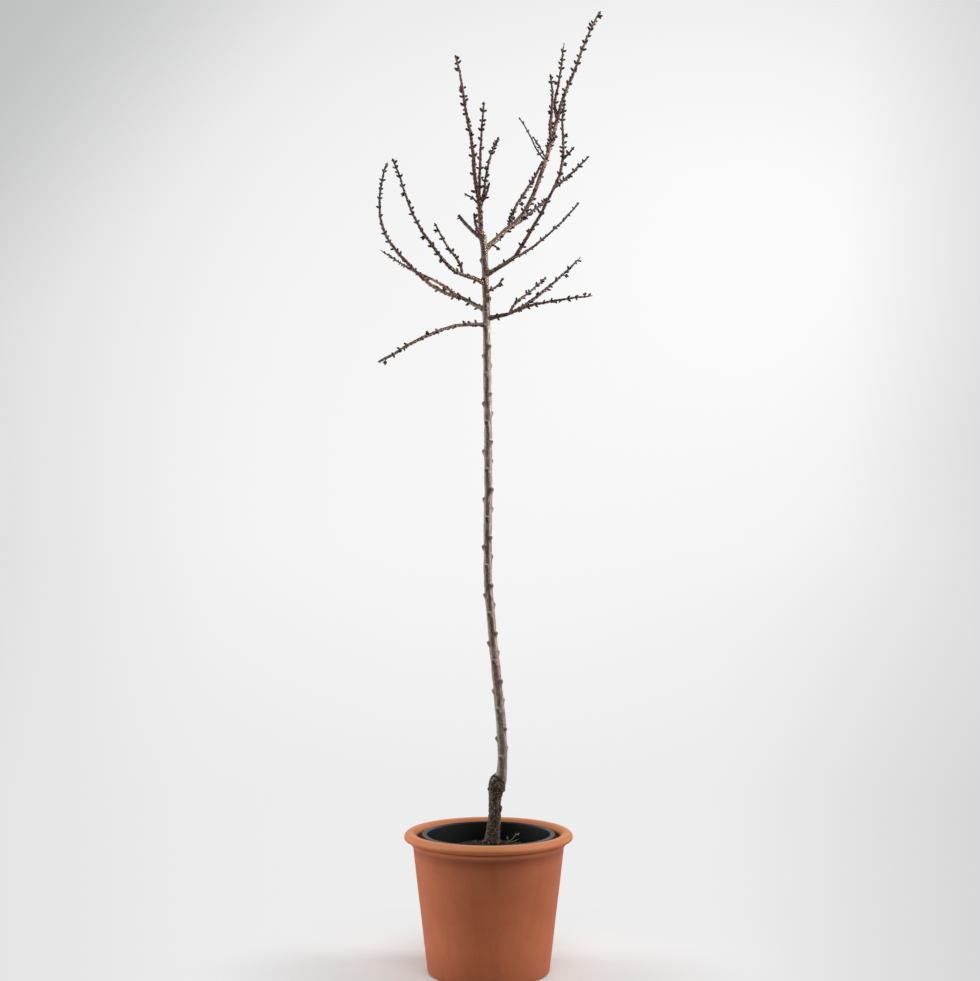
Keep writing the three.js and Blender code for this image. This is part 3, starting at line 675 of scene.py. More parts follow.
cut_out = axes_of(GRAFT_CUT["azimuth"], 90 - GRAFT_CUT["slope"])[0]
rootstock, rootstock_faces = tube(stem_rings(ROOTSTOCK, 2, root_flare), SIDES["rootstock"])
over = (rootstock - GRAFT_CUT["at"]) @ cut_out
rootstock[:, 2] -= np.where(over > 0, over / cut_out[2], 0)
shells = [(rootstock, rootstock_faces)]
shells.append(tube(stem_rings(SCION, 4), SIDES["scion"]))
shells.append(tube(stem_rings(LEADER, 3), SIDES["leader"]))
shells.append(tube(stump.rings(3), SIDES["bough"]))
shells += [tube(bough.rings(4), SIDES["bough"]) for bough in boughs.values()]


def dome(middle, radius, rise):
    """Closed egg that stands upright."""
    return tube([
        (middle + np.array((0, 0, rise * math.sin(a))), radius * math.cos(a), axes_of(0, 90))
        for a in np.radians(np.linspace(-84, 84, 15))
    ], SIDES["dome"])


shells.append(dome(np.array(HEALED_TOP["at"]), HEALED_TOP["radius"], HEALED_TOP["rise"]))
for height, azimuth, proud, size in KNOBS:
    middle, radius = stem_at(ROOTSTOCK, height)
    out = axes_of(azimuth, 0)[0] * (radius + proud - size)
    shells.append(dome(middle + out, size, 1.5 * size))
for azimuth, reach, thick in SHOULDERS:
    middle, _ = stem_at(ROOTSTOCK, ROOTSTOCK[0][0] + 6)
    outward, _, up = axes_of(azimuth, 0)
    shells.append(tube([
        (middle + outward * (8 + (reach - 8) * t) - up * 6 * t * t, thick * (0.62 - 0.2 * t),
         axes_of(azimuth, -45 * t))
        for t in np.linspace(0, 1, 7)
    ], SIDES["shoulder"]))


def joined(shapes):
    """Points and faces of several shapes as one."""
    points, faces = [], []
    for more, more_faces in shapes:
        base = sum(map(len, points))
        faces += [tuple(base + corner for corner in face) for face in more_faces]
        points.append(more)
    return np.vstack(points), faces


bark, tree, shader, place = finish("bark", 0.38, 0.5)
trunk_and_boughs = piece("trunk_and_boughs", *joined(shells), bark)
skin = trunk_and_boughs.modifiers.new("one_skin", "REMESH")
skin.mode = "VOXEL"
skin.voxel_size = SKIN_VOXEL * MM
blend = trunk_and_boughs.modifiers.new("blend", "SMOOTH")
blend.factor = 0.5
blend.iterations = 4
settle(trunk_and_boughs)

# Each point of the skin belongs to the stem or bough whose own surface it lies nearest to,
# and is measured along it and round it, so that the bark's pattern follows the wood.
mesh = trunk_and_boughs.data
count = len(mesh.vertices)
skin_at = np.empty(count * 3)
mesh.vertices.foreach_get("co", skin_at)
skin_at = skin_at.reshape(-1, 3) / MM
skin_out = np.array([v.normal for v in mesh.vertices])
level = skin_at[:, 2]

nearest = np.full(count, np.inf)
owner = np.zeros(count, int)
bark_at = np.zeros((count, 3))
turn_at = np.zeros(count)


def beside_line(points, start, end):
    """Share of the way along a line that is nearest to each point, and the point's way off it."""
    path = end - start
    reach = np.clip(((points - start) * path).sum(-1) / (path * path).sum(-1), 0, 1)
    return reach, points - start - path * reach[..., None]


def claim(number, far, along, offset, radius):
    """Gives points to a limb where they lie nearer to its surface than to any before it."""
    depth = np.abs(far - radius)
    mine = depth < nearest
    nearest[mine] = depth[mine]
    owner[mine] = number
    bark_at[mine] = np.column_stack((offset, along + OFFSET * number))[mine]
    turn_at[mine] = np.degrees(np.arctan2(offset[mine, 1], offset[mine, 0]))


def stem_beside(stations, heights):
    """Middles across and along, and radii, of a stem beside many heights."""
    steps = np.linspace(stations[0][0], stations[-1][0], 240)
    table = [stem_at(stations, h) for h in steps]
    columns = zip(*((*middle[:2], radius) for middle, radius in table))
    return [np.interp(heights, steps, column) for column in columns]


for number, stations in enumerate((ROOTSTOCK, SCION, LEADER)):
    across, along, radius = stem_beside(stations, level)
    offset = skin_at[:, :2] - np.column_stack((across, along))
    beyond = level - np.clip(level, stations[0][0], stations[-1][0])
    far = np.hypot(np.hypot(offset[:, 0], offset[:, 1]), beyond)
    claim(number, far, level, offset, radius)
for number, bough in enumerate((stump, *boughs.values()), FIRST_BOUGH - 1):
    best = np.full(count, np.inf)
    along, offset = np.zeros(count), np.zeros((count, 2))
    for i, (start, end) in enumerate(zip(bough.joints[:-1], bough.joints[1:])):
        reach, away = beside_line(skin_at, start, end)
        far = np.linalg.norm(away, axis=1)
        closer = far < best
        best[closer] = far[closer]
        along[closer] = ((i + reach) * bough.stride)[closer]
        middle_share = (i + 0.5) / (len(bough.joints) - 1)
        _, side, up = axes_of(bough.azimuth, part_way(bough.rises, middle_share))
        offset[closer] = np.column_stack((away @ up, away @ side))[closer]
    radius = np.interp(along, (0, bough.length), np.array(bough.thick) / 2)
    claim(number, best, along, offset, radius)


def lumps(scale, seed):
    """Noise from -1 to 1 at every point of the skin, with its waves' sizes across and along."""
    places = bark_at / (scale[0], scale[0], scale[1]) + seed
    return np.array([noise.noise(Vector(p)) for p in places])


def bell(away, width, power=2):
    """Share that is 1 at a middle and falls off past a width."""
    return np.exp(-(np.abs(away / width) ** power))


def swing_from(turns, azimuth):
    """Degrees from an azimuth, to either side of it."""
    return (turns - azimuth + 180) % 360 - 180


# The rootstock ends and the scion begins at a seam that slants down to the right
seam = (skin_at - SEAM["at"]) @ (SEAM["slope"], 0, 1) / math.hypot(SEAM["slope"], 1)
is_stock = (owner <= 1) & (seam < 0) & (level < STOCK_TOP)
is_scion = (owner == 1) & ~is_stock
is_bough = owner >= FIRST_BOUGH - 1
bark_at[is_stock, 2] = skin_at[is_stock, 2]
proud = np.where(is_stock, 0.5, np.where(is_bough, 0.16, 0.26)) * lumps((3.2, 22), 5)
proud += np.where(is_stock, 0.9, np.where(is_bough, 0.1, 0.3)) * lumps((9, 34), 9)
proud += is_scion * (1.2 * lumps((15, 26), 31) + 0.3 * lumps((9, 3.6), 37))
plates = lumps((4.5, 7), 17)
proud += is_stock * (1.3 * plates + 0.8 * lumps((2.8, 3.6), 43))

# An eye on the scion is a shelf with a painted highlight on its upper edge over a dark scar
# that is partly painted shade, and runs out below
eye_scar_and_painted_shade = np.zeros(count)
eye_painted_highlight = np.zeros(count)
eye_draws = seeded(41)
lowest = math.ceil((EYES_FROM - EYE_LEFT_AT) / EYE_SPACING)
highest = math.floor((EYES_TO - EYE_LEFT_AT) / EYE_SPACING)
for i in range(lowest, highest + 1):
    height = EYE_LEFT_AT + i * EYE_SPACING
    middle, radius = stem_at(SCION, height)
    near = np.flatnonzero(is_scion & (np.abs(level - height) < 16))
    across = np.radians(swing_from(turn_at[near], (180 + TURN * i) % 360)) * radius
    up = skin_at[near, 2] - height
    size = 0.9 + 0.4 * eye_draws()
    aside = across + 1.6 * (eye_draws() - 0.5)
    reach = size * np.where(up > 0, 2.8, 6.6)
    proud[near] += 3.6 * size * bell(up, reach, 2.6) * bell(aside, 4 * size, 2.6)
    # The dark patch is the scar with painted shade under the shelf; the pale line is a painted highlight
    dark = bell(up + 0.6, 3.4 * size) * bell(aside, 3.6 * size)
    pale = bell(up - 3.8 * size, 1.5) * bell(aside, 4.4)
    eye_scar_and_painted_shade[near] = np.maximum(eye_scar_and_painted_shade[near], dark)
    eye_painted_highlight[near] = np.maximum(eye_painted_highlight[near], pale)

# A node on a bough swells all round and stands out under its bud
for number, bough in enumerate(boughs.values(), FIRST_BOUGH):
    mine = np.flatnonzero(owner == number)
    far = bark_at[mine, 2] - OFFSET * number
    for i in range(1, 2 * (len(bough.joints) - 1)):
        swing = swing_from(turn_at[mine], bough.phase + TURN * i / 2)
        ring = bell(far - i * bough.stride / 2, 2.2)
        proud[mine] += ring * (0.25 + 0.9 * bell(swing, 40))

# Callus has rolled over the rootstock's cut and left a pale scar in a dark ring. The seam is
# a dark crease, with the scion's smooth collar over it, and the foot has a hollow at its left.
_, off_scar = beside_line(skin_at, np.array(SCAR["from"]), np.array(SCAR["to"]))
from_scar = np.linalg.norm(off_scar, axis=1) / SCAR["radius"]
scar = np.clip(1.3 - from_scar ** 3, 0, 1)
callus = bell(from_scar - 1.8, 0.5) * np.clip((level - 396) / 4, 0, 1)
crease = bell(seam, 1.5) * (owner <= 1) * (skin_at[:, 0] > 16) * (level < STOCK_TOP)
collar = bell(level - 392, 22, 4) * is_scion
pit = bell(np.linalg.norm(skin_at - HOLLOW["at"], axis=1), HOLLOW["radius"])
proud += 1.2 * callus - 0.7 * scar - 1.3 * crease - HOLLOW["depth"] * pit

skin_at += skin_out * proud[:, None]
mesh.vertices.foreach_set("co", (skin_at * MM).ravel())

SCION_LOW = np.array(tone(146, 132, 122))
SCION_HIGH = np.array(tone(140, 114, 95))
climbed = np.clip((level - 560) / 240, 0, 1)[:, None]
tint = SCION_LOW + (SCION_HIGH - SCION_LOW) * climbed
tint[owner == 2] = tone(100, 66, 56)
tint[owner == FIRST_BOUGH - 1] = tone(186, 158, 132)
tint[is_stock] = tone(84, 60, 48)
for number, (name, bough) in enumerate(boughs.items(), FIRST_BOUGH):
    mine = owner == number
    part = np.clip((bark_at[mine, 2] - OFFSET * number) / bough.length, 0, 1)[:, None]
    near_tone, far_tone = (np.array(tone(*t)) for t in BOUGHS[name][6:])
    tint[mine] = near_tone * (1 - part) + far_tone * part
pale_bark = np.clip(lumps((4, 24), 23) * 2.4 - 0.3, 0, 1) * is_scion * (0.35 + 0.65 * climbed[:, 0])
dark_bark = np.clip(lumps((4, 15), 29) * 2.4 - 0.25, 0, 1) * is_scion
lichen = np.clip(lumps((9, 14), 47) * 3 - 0.5, 0, 1) * is_stock


def side_band(azimuth, half_width):
    """One side of the upright stems, with a wandering edge."""
    return bell(swing_from(turn_at + 14 * lumps((30, 26), 53), azimuth), half_width, 4) * (owner <= 1)


# Painted light down the upright stems: a painted highlight band on the front right, a band of painted
# shade down the front, and painted light on the left side
painted_highlight_band = side_band(308, 19) * is_scion * (0.4 + 0.6 * climbed[:, 0])
shaded = side_band(264, 30) * is_scion * (0.2 + 0.8 * climbed[:, 0])
painted_light_left_band = side_band(186, 40)
aloft = np.clip((level - 1360) / 60, 0, 1) * is_scion
midway = bell(level - 1070, 230, 4)
for amount, other in (
    (0.7 * painted_highlight_band, (188, 168, 150)),
    (0.72 * shaded, (86, 64, 50)),
    ((0.15 + 0.6 * midway) * painted_light_left_band, (192, 178, 167)),
    (0.6 * aloft, (92, 72, 62)),
    (0.5 * pale_bark, (194, 176, 158)),
    (0.65 * dark_bark, (80, 60, 48)),
    (0.6 * collar, (150, 134, 118)),
    (0.7 * np.clip(plates * 1.9, 0, 1) * is_stock, (150, 124, 106)),
    (0.8 * np.clip(-plates * 2 - 0.1, 0, 1) * is_stock, (38, 26, 20)),
    (0.35 * lichen, (132, 130, 108)),
    (0.95 * eye_scar_and_painted_shade, (44, 32, 26)),
    (0.8 * eye_painted_highlight, (206, 190, 170)),
    (0.9 * np.clip(callus + crease + pit, 0, 1), (30, 22, 16)),
    (scar, (206, 206, 166)),
):
    tint += (np.array(tone(*other)) - tint) * amount[:, None]
tint_layer = mesh.attributes.new("tint", "FLOAT_COLOR", "POINT")
tint_layer.data.foreach_set("color", tint.ravel())
bark_layer = mesh.attributes.new("bark", "FLOAT_VECTOR", "POINT")
bark_layer.data.foreach_set("vector", (bark_at * MM).ravel())

colour = add(tree, "ShaderNodeAttribute", attribute_name="tint").outputs["Color"]
wood = add(tree, "ShaderNodeAttribute", attribute_name="bark").outputs["Vector"]
fibres = grain(tree, stretched(tree, wood, (1, 1, 0.12)), 600, 5, 0.65)
patches = grain(tree, stretched(tree, wood, (1, 1, 0.4)), 150, 4, 0.6)
ridges = grain(tree, stretched(tree, wood, (0.14, 0.14, 1)), 330, 4, 0.6)
for pattern, low, dark, high, light in (
    (fibres, 0.28, (0.56, 0.54, 0.52, 1), 0.72, (1.38, 1.36, 1.34, 1)),
    (patches, 0.3, (0.7, 0.69, 0.68, 1), 0.7, (1.22, 1.21, 1.2, 1)),
    (ridges, 0.35, (0.8, 0.79, 0.78, 1), 0.65, grey(1.12)),
):
    colour = mixed(tree, 1, colour, ramp(tree, pattern, (low, dark), (high, light)), "MULTIPLY")

# Old bark on the rootstock is broken into small plates, pale on top and dark in its cracks
is_old = share(tree, parts_of(tree, wood)["Z"], 0.43, 0.42)
cell = add(tree, "ShaderNodeTexVoronoi", {
    "Vector": stretched(tree, wood, (1, 1, 1.3)), "Scale": 230,
}, feature="DISTANCE_TO_EDGE").outputs["Distance"]
pores = share(tree, grain(tree, stretched(tree, wood, (0.5, 0.5, 1)), 700, 2), 0.6, 0.7, 0.8)
crack = product(tree, share(tree, cell, 0.12, 0.02), is_old)
chalky = product(tree, share(tree, grain(tree, wood, 420, 3, 0.7), 0.54, 0.64, 0.8), is_old)
plate = product(tree, share(tree, cell, 0.02, 0.3), is_old)
dulled = add(tree, "ShaderNodeMath", {0: is_old, 1: 0.35, 2: 0.38}, operation="MULTIPLY_ADD")
feed(tree, dulled, shader.inputs["Roughness"])
colour = coated(
    tree, colour, (pores, tone(180, 164, 148)), (crack, tone(40, 30, 24)),
    (chalky, tone(170, 152, 134)),
)
dress(
    tree, shader, colour, (plate, 0.0014), (patches, 0.0012), (fibres, 0.0008),
    (ridges, 0.0005), (pores, 0.0002),
)
stands_for(trunk_and_boughs, "bark", "trunk", *("bough_" + name for name in BOUGHS))

# Shoots: last year's wood, smooth and thin, which grows on from the boughs and the trunk by
# the same rule. Geometry Nodes give each path its thickness, and the finish dealt to it.
TWIG_INTERNODE = 19
SHOOT_STEP = 2.2
SHOOT_SIDES = 10
NEAREST = 6
SPUR_CHANCE = 0.16
BOUGH_SPUR_CHANCE = 0.15
SPUR_LEAN = 58
BLIND = 0.06
BOUGH_BLIND = 0.08
BOUGH_BUD_SIZE = 1.12
CROWDED_SPACING = 5.5
STOUT = 1.08
TAPER = 24
SPUR_RADII = (1.6, 1.5, 1.35, 1.35, 1.5, 0.9)
BUD_SPREAD = 118
# Each shoot: what it leaves, where on it, azimuth, length, thickness at both ends, rises,
# tones and size of its buds
MASSES = {
    "low_left": {
        "stem": ("low_left", 1, 205, 165, (6.2, 4.4), (-20, -24, -33, -23), "brown brown grey", 1.0),
    },
    "low_right": {
        "stem": ("low_right", 1, 15, 202, (6.6, 3), (24, 38, 41, 46), "brown maroon dark", 1.0),
        "back": ("stem", 0.02, 50, 151, (5.2, 2.8), (60, 26, 33, 31), "brown dark", 1.0),
        "front": ("stem", 0.05, 325, 198, (5.6, 3), (19, 6, 4, 0), "brown maroon brown", 0.95),
    },
    "middle_left": {
        "stem": (
            "middle_left", 1, 160, 387, (7.4, 3.4), (12, 41, 49, 89, 112),
            "tan maroon brown dark", 1.0,
        ),
        "back": ("stem", 0.02, 135, 276, (5.6, 2.8), (36, 24, 21, 29, 26), "tan brown grey", 0.72),
    },
    "upper_left": {
        "stem": (
            "upper_left", 1, 213, 293, (6.6, 3.2), (9, 47, 47, 62, 71, 60),
            "brown brown grey dark", 1.05,
        ),
        "front": ("stem", 0.02, 235, 137, (5.2, 3), (78, 29, 42, 50), "brown grey", 1.05),
    },
    "small_right": {
        "stem": ("trunk", 1410, 305, 68, (4.6, 3.4), (15, 8, 58), "brown maroon", 0.9),
    },
    "middle_right": {
        "stem": ("middle_right", 0.95, 305, 236, (4.8, 2.8), (7, 20, 24, 34), "maroon grey grey", 0.72),
    },
    "middle_right_top": {
        "stem": ("middle_right_upper", 1, 20, 184, (5.8, 3.6), (58, 82, 96, 75), "maroon grey", 1.05),
        "side": ("stem", 0.03, 300, 136, (4.8, 2.8), (16, 18, 20, 22), "maroon dark", 0.95),
        "short": ("stem", 0.36, 320, 37, (3.6, 3), (40, 39), "grey", 1.15),
    },
    "high_right_top": {
        "stem": (
            "high_right_upper", 1, 45, 412, (8, 3.2), (66, 69, 71, 58, 65, 59, 54),
            "tan maroon maroon brown", 1.2,
        ),
        "crossing": ("stem", 0.035, 200, 110, (3.2, 2.2), (45, 65, 48), "dark", 0.6),
        "inner": ("stem", 0.05, 130, 70, (3.2, 2.4), (56, 48), "dark", 0.7),
        "upright": ("stem", 0.15, 240, 148, (7, 3.2), (68, 106, 93, 60), "maroon brown", 1.1),
        "second": ("stem", 0.28, 340, 168, (5.6, 3.2), (110, 75, 82, 85), "maroon grey", 1.05),
    },
    "high_right_front": {
        "stem": ("high_right", 0.86, 15, 163, (6, 4.4), (84, 57, 56, 68), "brown maroon", 1.1),
    },
    "high_right_back": {
        "stem": ("high_right", 0.97, 60, 173, (5.4, 3), (15, 31, 26, 35), "brown maroon grey", 1.1),
    },
    "high_right_spur": {
        "stem": ("high_right", 0.24, 318, 26, (3.4, 3), (-23, -38), "dark", 1.5),
    },
    "leader_low": {
        "stem": ("trunk", 1528, 235, 53, (5, 4), (18, 66, 76), "maroon", 1.15),
    },
    "leader_left": {
        "stem": ("trunk", 1592, 195, 40, (3.6, 2.8), (50, 18), "dark", 0.85),
    },
    "leader_right": {
        "stem": ("trunk", 1584, 30, 160, (6, 3.2), (70, 83, 73, 57), "maroon brown", 1.25),
        "front": ("stem", 0.06, 320, 49, (4.2, 3.2), (48, 77), "maroon", 1.1),
    },
    "leader_top": {
        "stem": ("trunk", 1602, 130, 326, (7.6, 3.6), (68, 86, 72, 79, 66), "maroon maroon brown", 1.25),
        "second": ("stem", 0.02, 280, 196, (6.4, 3.2), (72, 81, 68, 58), "maroon brown grey", 1.2),
    },
}
# Shoots that end in a bare fine point
NEEDLES = {
    ("low_right", "stem"), ("low_right", "front"), ("middle_left", "back"), ("high_right_top", "second"),
}
# Stretches of limbs where spurs have crowded: the limb, from and to along it, and the buds' size
CROWDED = {
    ("high_right_top", "stem"): (46, 82, 1.1),
    ("high_right_front", "stem"): (6, 30, 0.9),
    ("leader_right", "stem"): (126, 150, 0.85),
    ("middle_left", "stem"): (2, 12, 0.95),
    ("pruned_left", "bough"): (70, 75, 0.6),
}
# Heights of the buds on the leader: from, to and between
LEADER_BUDS = (1541, 1603, 7)

SHOOT_BARK = {
    "sheen": (0.42, 0.5), "wander": (60, 5, 0.6), "stops": (0.35, 0.72), "pits": (500, 4, 0.7),
    "depth": 0.0003,
}
SHOOT_TONES = {
    name: dappled("shoot_" + name, dark, light, **SHOOT_BARK) for name, dark, light in (
        ("tan", (132, 98, 74), (156, 118, 92)),
        ("brown", (94, 64, 52), (114, 80, 64)),
        ("maroon", (86, 48, 44), (104, 60, 52)),
        ("grey", (72, 62, 54), (90, 76, 62)),
        ("dark", (56, 44, 42), (72, 56, 50)),
    )
}
tone_names = list(SHOOT_TONES)

shoots = []
for mass, rows in MASSES.items():
    parents = dict(boughs)
    for part, row in rows.items():
        seed = FIRST_SEED + len(boughs) + len(shoots)
        limb = Limb(mass, row[:6], parents, TWIG_INTERNODE, seed)
        limb.tones = [tone_names.index(t) for t in row[6].split()]
        limb.bud_size = row[7]
        limb.part = part
        parents[part] = limb
        shoots.append(limb)


def is_clear(point, mass):
    """True where a point keeps clear of the trunk and of every limb of other masses."""
    stations = LEADER if point[2] > LEADER_LEAVES else SCION
    middle, radius = stem_at(stations, min(point[2], LEADER[-1][0]))
    if np.linalg.norm(point - middle) < radius + NEAREST:
        return False
    for limb in (*boughs.values(), *shoots):
        if limb.mass == mass:
            continue
        _, away = beside_line(point, limb.joints[:-1], limb.joints[1:])
        if np.linalg.norm(away, axis=1).min() < limb.thick[0] / 2 + NEAREST:
            return False
    return True


paths, path_radii, path_tones, path_ends = [], [], [], []
buds = []


def lay_path(points, radii, tones):
    """Adds one shoot's path."""
    path_ends.append((len(paths), len(paths) + len(points)))
    paths.extend(points)
    path_radii.extend(radii)
    path_tones.extend(tones)


def set_bud(point, aim, width, length, kind):
    """Adds one bud: its seat, where it points, its size and its tone."""
    buds.append((point, aim / np.linalg.norm(aim), width, length, kind))


def cluster(limb, far, turn, random, count):
    """Sets one bud at a node, two on its two sides or three round it."""
    point, radius, axes = limb.at(far)
    for k in range(count):
        aside = turn + (k - (count - 1) / 2) * BUD_SPREAD + 24 * (random() - 0.5)
        aim = leaning(axes, aside, 42 + 26 * random())
        width = (3.9 + 1.2 * random()) * limb.bud_size
        length = width * (1.35 + 0.4 * random())
        seat = point + leaning(axes, aside, 90) * radius * 0.9
        set_bud(seat, aim, width, length, int(3 * random()))


def crown_of_buds(tip, ahead, axes, size, count, random):
    """Bud that goes on from a tip, and others close round its foot."""
    ahead = ahead / np.linalg.norm(ahead)
    side = np.cross(ahead, axes[1] + 0.3 * axes[2])
    side /= np.linalg.norm(side)
    other = np.cross(ahead, side)
    set_bud(tip - ahead * 0.8, ahead, 4.4 * size, 7.2 * size, 0)
    for k in range(count):
        angle = math.radians(360 / count * k + 40 * random())
        out = side * math.cos(angle) + other * math.sin(angle)
        set_bud(tip - ahead * 2 + out * 0.6, ahead + out, 3.6 * size, 5.8 * size, k % 3)


def spur(limb, far, turn, length, random):
    """Short side shoot that ends in a group of buds."""
    point, radius, axes = limb.at(far)
    aim = leaning(axes, turn, SPUR_LEAN)
    points = [
        point + aim * d + axes[0] * 0.006 * d * d
        for d in np.linspace(0, radius + length, len(SPUR_RADII))
    ]
    lay_path(points, SPUR_RADII, [limb.tones[-1]] * len(SPUR_RADII))
    crown_of_buds(points[-1], points[-1] - points[-2], axes, limb.bud_size, 3, random)


def bud_limb(limb, bare, tip_bare, blind, spur_chance):
    """Buds and spurs of a limb: at its own nodes by the solids' draws, and half way between."""
    extra = seeded(int(1e6 * limb.phase) + 7)
    for i in range(1, 2 * (len(limb.joints) - 1)):
        far = i * limb.stride / 2
        turn = limb.phase + TURN * i / 2
        spur_length = 0
        if i % 2 == 0:
            _, draw, length = limb.random(), limb.random(), limb.random()
            spur_length = (3.5 + 3.5 * length) * (draw < spur_chance)
        is_between = i % 2 == 1
        if far < limb.start_radius + bare or far > limb.length - tip_bare:
            continue
        if extra() < (max(0.5, blind) if is_between else blind):
            continue
        point, radius, axes = limb.at(far)
        tip = point + leaning(axes, turn, 90) * (radius + 4.5)
        if not is_clear(tip, limb.mass):
            continue
        if spur_length and is_clear(tip + leaning(axes, turn, SPUR_LEAN) * spur_length, limb.mass):
            spur(limb, far, turn, spur_length, extra)
        else:
            cluster(limb, far, turn, extra, 1 if is_between else 2 + (extra() < 0.4))


for limb in shoots:
    is_needle = (limb.mass, limb.part) in NEEDLES
    nodes_at = np.arange(1, 2 * (len(limb.joints) - 1)) * limb.stride / 2
    nodes_at = nodes_at[nodes_at < limb.length - 6]
    points, radii, dealt = [], [], []
    for far in np.linspace(0, limb.length - 1.2, max(4, round(limb.length / SHOOT_STEP))):
        point, radius, axes = limb.at(far)
        swell = 1 + 0.35 * np.exp(-(((nodes_at - far) / 1.9) ** 2)).sum()
        fine = min(1, (limb.length - far) / TAPER + (0.25 if is_needle else 0.6))
        points.append(point + axes[1] * 0.35 * noise.noise(Vector(point) / 9))
        radii.append(radius * swell * fine * (STOUT + 0.12 * noise.noise(Vector(point) / 6)))
        dealt.append(limb.tones[min(len(limb.tones) - 1, int(far / limb.length * len(limb.tones)))])
    lay_path(points, radii, dealt)
    bud_limb(limb, 8, 9 if is_needle else 5, BLIND, SPUR_CHANCE)
    point, radius, axes = limb.at(limb.length)
    if is_needle:
        set_bud(point - axes[0] * 4, axes[0], 2.2, 4.6, 0)
    else:
        size = 0.25 + 0.5 * limb.bud_size
        crown_of_buds(point - axes[0] * 3.4, axes[0], axes, size, 3, seeded(int(1e6 * limb.phase)))
for limb in boughs.values():
    limb.tones = [tone_names.index("brown")]
    limb.bud_size = BOUGH_BUD_SIZE
    limb.part = "bough"
    blind = 1 if limb.mass == "pruned_left" else BOUGH_BLIND
    bud_limb(limb, 10, 0, blind, BOUGH_SPUR_CHANCE)
for limb in (*boughs.values(), *shoots):
    first, last, limb.bud_size = CROWDED.get((limb.mass, limb.part), (0, 0, 1))
    for k, far in enumerate(np.arange(first, last, CROWDED_SPACING)):
        cluster(limb, far, limb.phase + TURN * k, limb.random, 2 + k % 2)


class Stem:
    """Upright stem that buds are set on by height."""

    bud_size = 0.95

    def at(self, height):
        """Point, radius and directions at a height."""
        return *stem_at(LEADER, height), axes_of(0, 90)


leader_draws = seeded(43)
for k, height in enumerate(np.arange(*LEADER_BUDS)):
    cluster(Stem(), height, 180 * k + 20 * leader_draws(), leader_draws, 1 + k % 2)

dresser, inputs, ends = nodes_for(
    "thicken_shoots", ("Sides", "Int"), *((t, "Material") for t in SHOOT_TONES)
)


def carried(tree, name, kind):
    """Attribute that the points of a path or a set of seats carry."""
    return add(tree, "GeometryNodeInputNamedAttribute", {"Name": name}, data_type=kind)


def deal(tree, shaped, inputs, labels):
    """Gives each face the finish whose number it carries, and all of them the first to start."""
    dealt = carried(tree, "tone", "INT")
    for number, label in enumerate(labels):
        is_tone = add(
            tree, "FunctionNodeCompare", {2: dealt, 3: number},
            data_type="INT", operation="EQUAL" if number else "GREATER_EQUAL",
        )
        shaped = add(tree, "GeometryNodeSetMaterial", {
            "Geometry": shaped, "Selection": is_tone, "Material": inputs[label],
        })
    return shaped


lines = add(dresser, "GeometryNodeMeshToCurve", {"Mesh": inputs["Mesh"]})
ring = add(dresser, "GeometryNodeCurvePrimitiveCircle", {"Resolution": inputs["Sides"], "Radius": 1})
shaped = add(dresser, "GeometryNodeCurveToMesh", {
    "Curve": lines, "Profile Curve": ring, "Scale": carried(dresser, "radius", "FLOAT"),
    "Fill Caps": True,
})
feed(dresser, deal(dresser, shaped, inputs, SHOOT_TONES), ends[0])


def marked_points(name, points, edges=(), **marks):
    """Object of bare points and edges that carry attributes."""
    mesh = bpy.data.meshes.new(name)
    mesh.from_pydata(np.asarray(points) * MM, edges, [])
    for key, values in marks.items():
        values = np.array(values)
        kind = "FLOAT_VECTOR" if values.ndim == 2 else "INT" if values.dtype.kind == "i" else "FLOAT"
        layer = mesh.attributes.new(key, kind, "POINT")
        layer.data.foreach_set("vector" if values.ndim == 2 else "value", values.ravel())
    return placed(name, mesh)


edges = [(i, i + 1) for first, last in path_ends for i in range(first, last - 1)]
shoot_piece = marked_points(
    "shoots", paths, edges, radius=np.array(path_radii) * MM, tone=path_tones
)
grown(shoot_piece, dresser, Sides=SHOOT_SIDES, **SHOOT_TONES)
smoothed(shoot_piece.data)
stands_for(shoot_piece, "shoots", *("twigs_" + name for name in MASSES))

# Seedlings: three weak green stalks that came up in the soil from one spot, two of them with pale
# leaves. Their stalks are thickened by the shoots' nodes, and each leaf is a cupped blade.
SEEDLINGS = (
    {"path": ((38, 62, 248), (46, 62, 256), (55, 62, 259), (63, 62, 262.5)), "leaves": ()},
    {"path": ((39, 64, 248), (46, 65, 259), (53, 66, 264), (58, 66, 270), (62, 66, 273)),
     "leaves": ((0.66, 190, 10), (0.74, 20, 35), (0.84, 150, 30), (0.92, 340, -20), (1, 20, 20))},
    {"path": ((39, 62, 248), (42, 62, 260), (40, 62, 266)), "leaves": ((0.7, 170, 40), (1, 250, 60))},
)
LEAF = {"length": 4.4, "width": 2.6, "thick": 0.4, "rings": 6, "sides": 8}
STALK_STEPS = 8
STALK_SIDES = 8
SOFT_GREEN = {
    "sheen": (0.6, 0.3), "wander": (300, 4, 0.6), "stops": (0.35, 0.7), "pits": (900, 3, 0.6),
    "depth": 0.0002,
}


def leaf_blade(base, azimuth, rise):
    """Points and faces of a small cupped leaf."""
    forward, side, up = axes_of(azimuth, rise)
    points = [base - forward * 0.3]
    for t in np.linspace(0.12, 0.94, LEAF["rings"]):
        wide = LEAF["width"] / 2 * math.sin(math.pi * t ** 0.8)
        middle = base + (forward * t - up * 0.25 * t * t) * LEAF["length"]
        for turn in np.radians(range(0, 360, 360 // LEAF["sides"])):
            edge = side * wide * math.cos(turn)
            cupped = LEAF["thick"] * math.sin(turn) + 0.5 * abs(math.cos(turn))
            points.append(middle + edge + up * cupped)
    points.append(base + (forward - up * 0.25) * LEAF["length"])
    ends = np.array(points[1:-1] + [points[0], points[-1]])
    return ends, closed_faces(LEAF["rings"], LEAF["sides"])


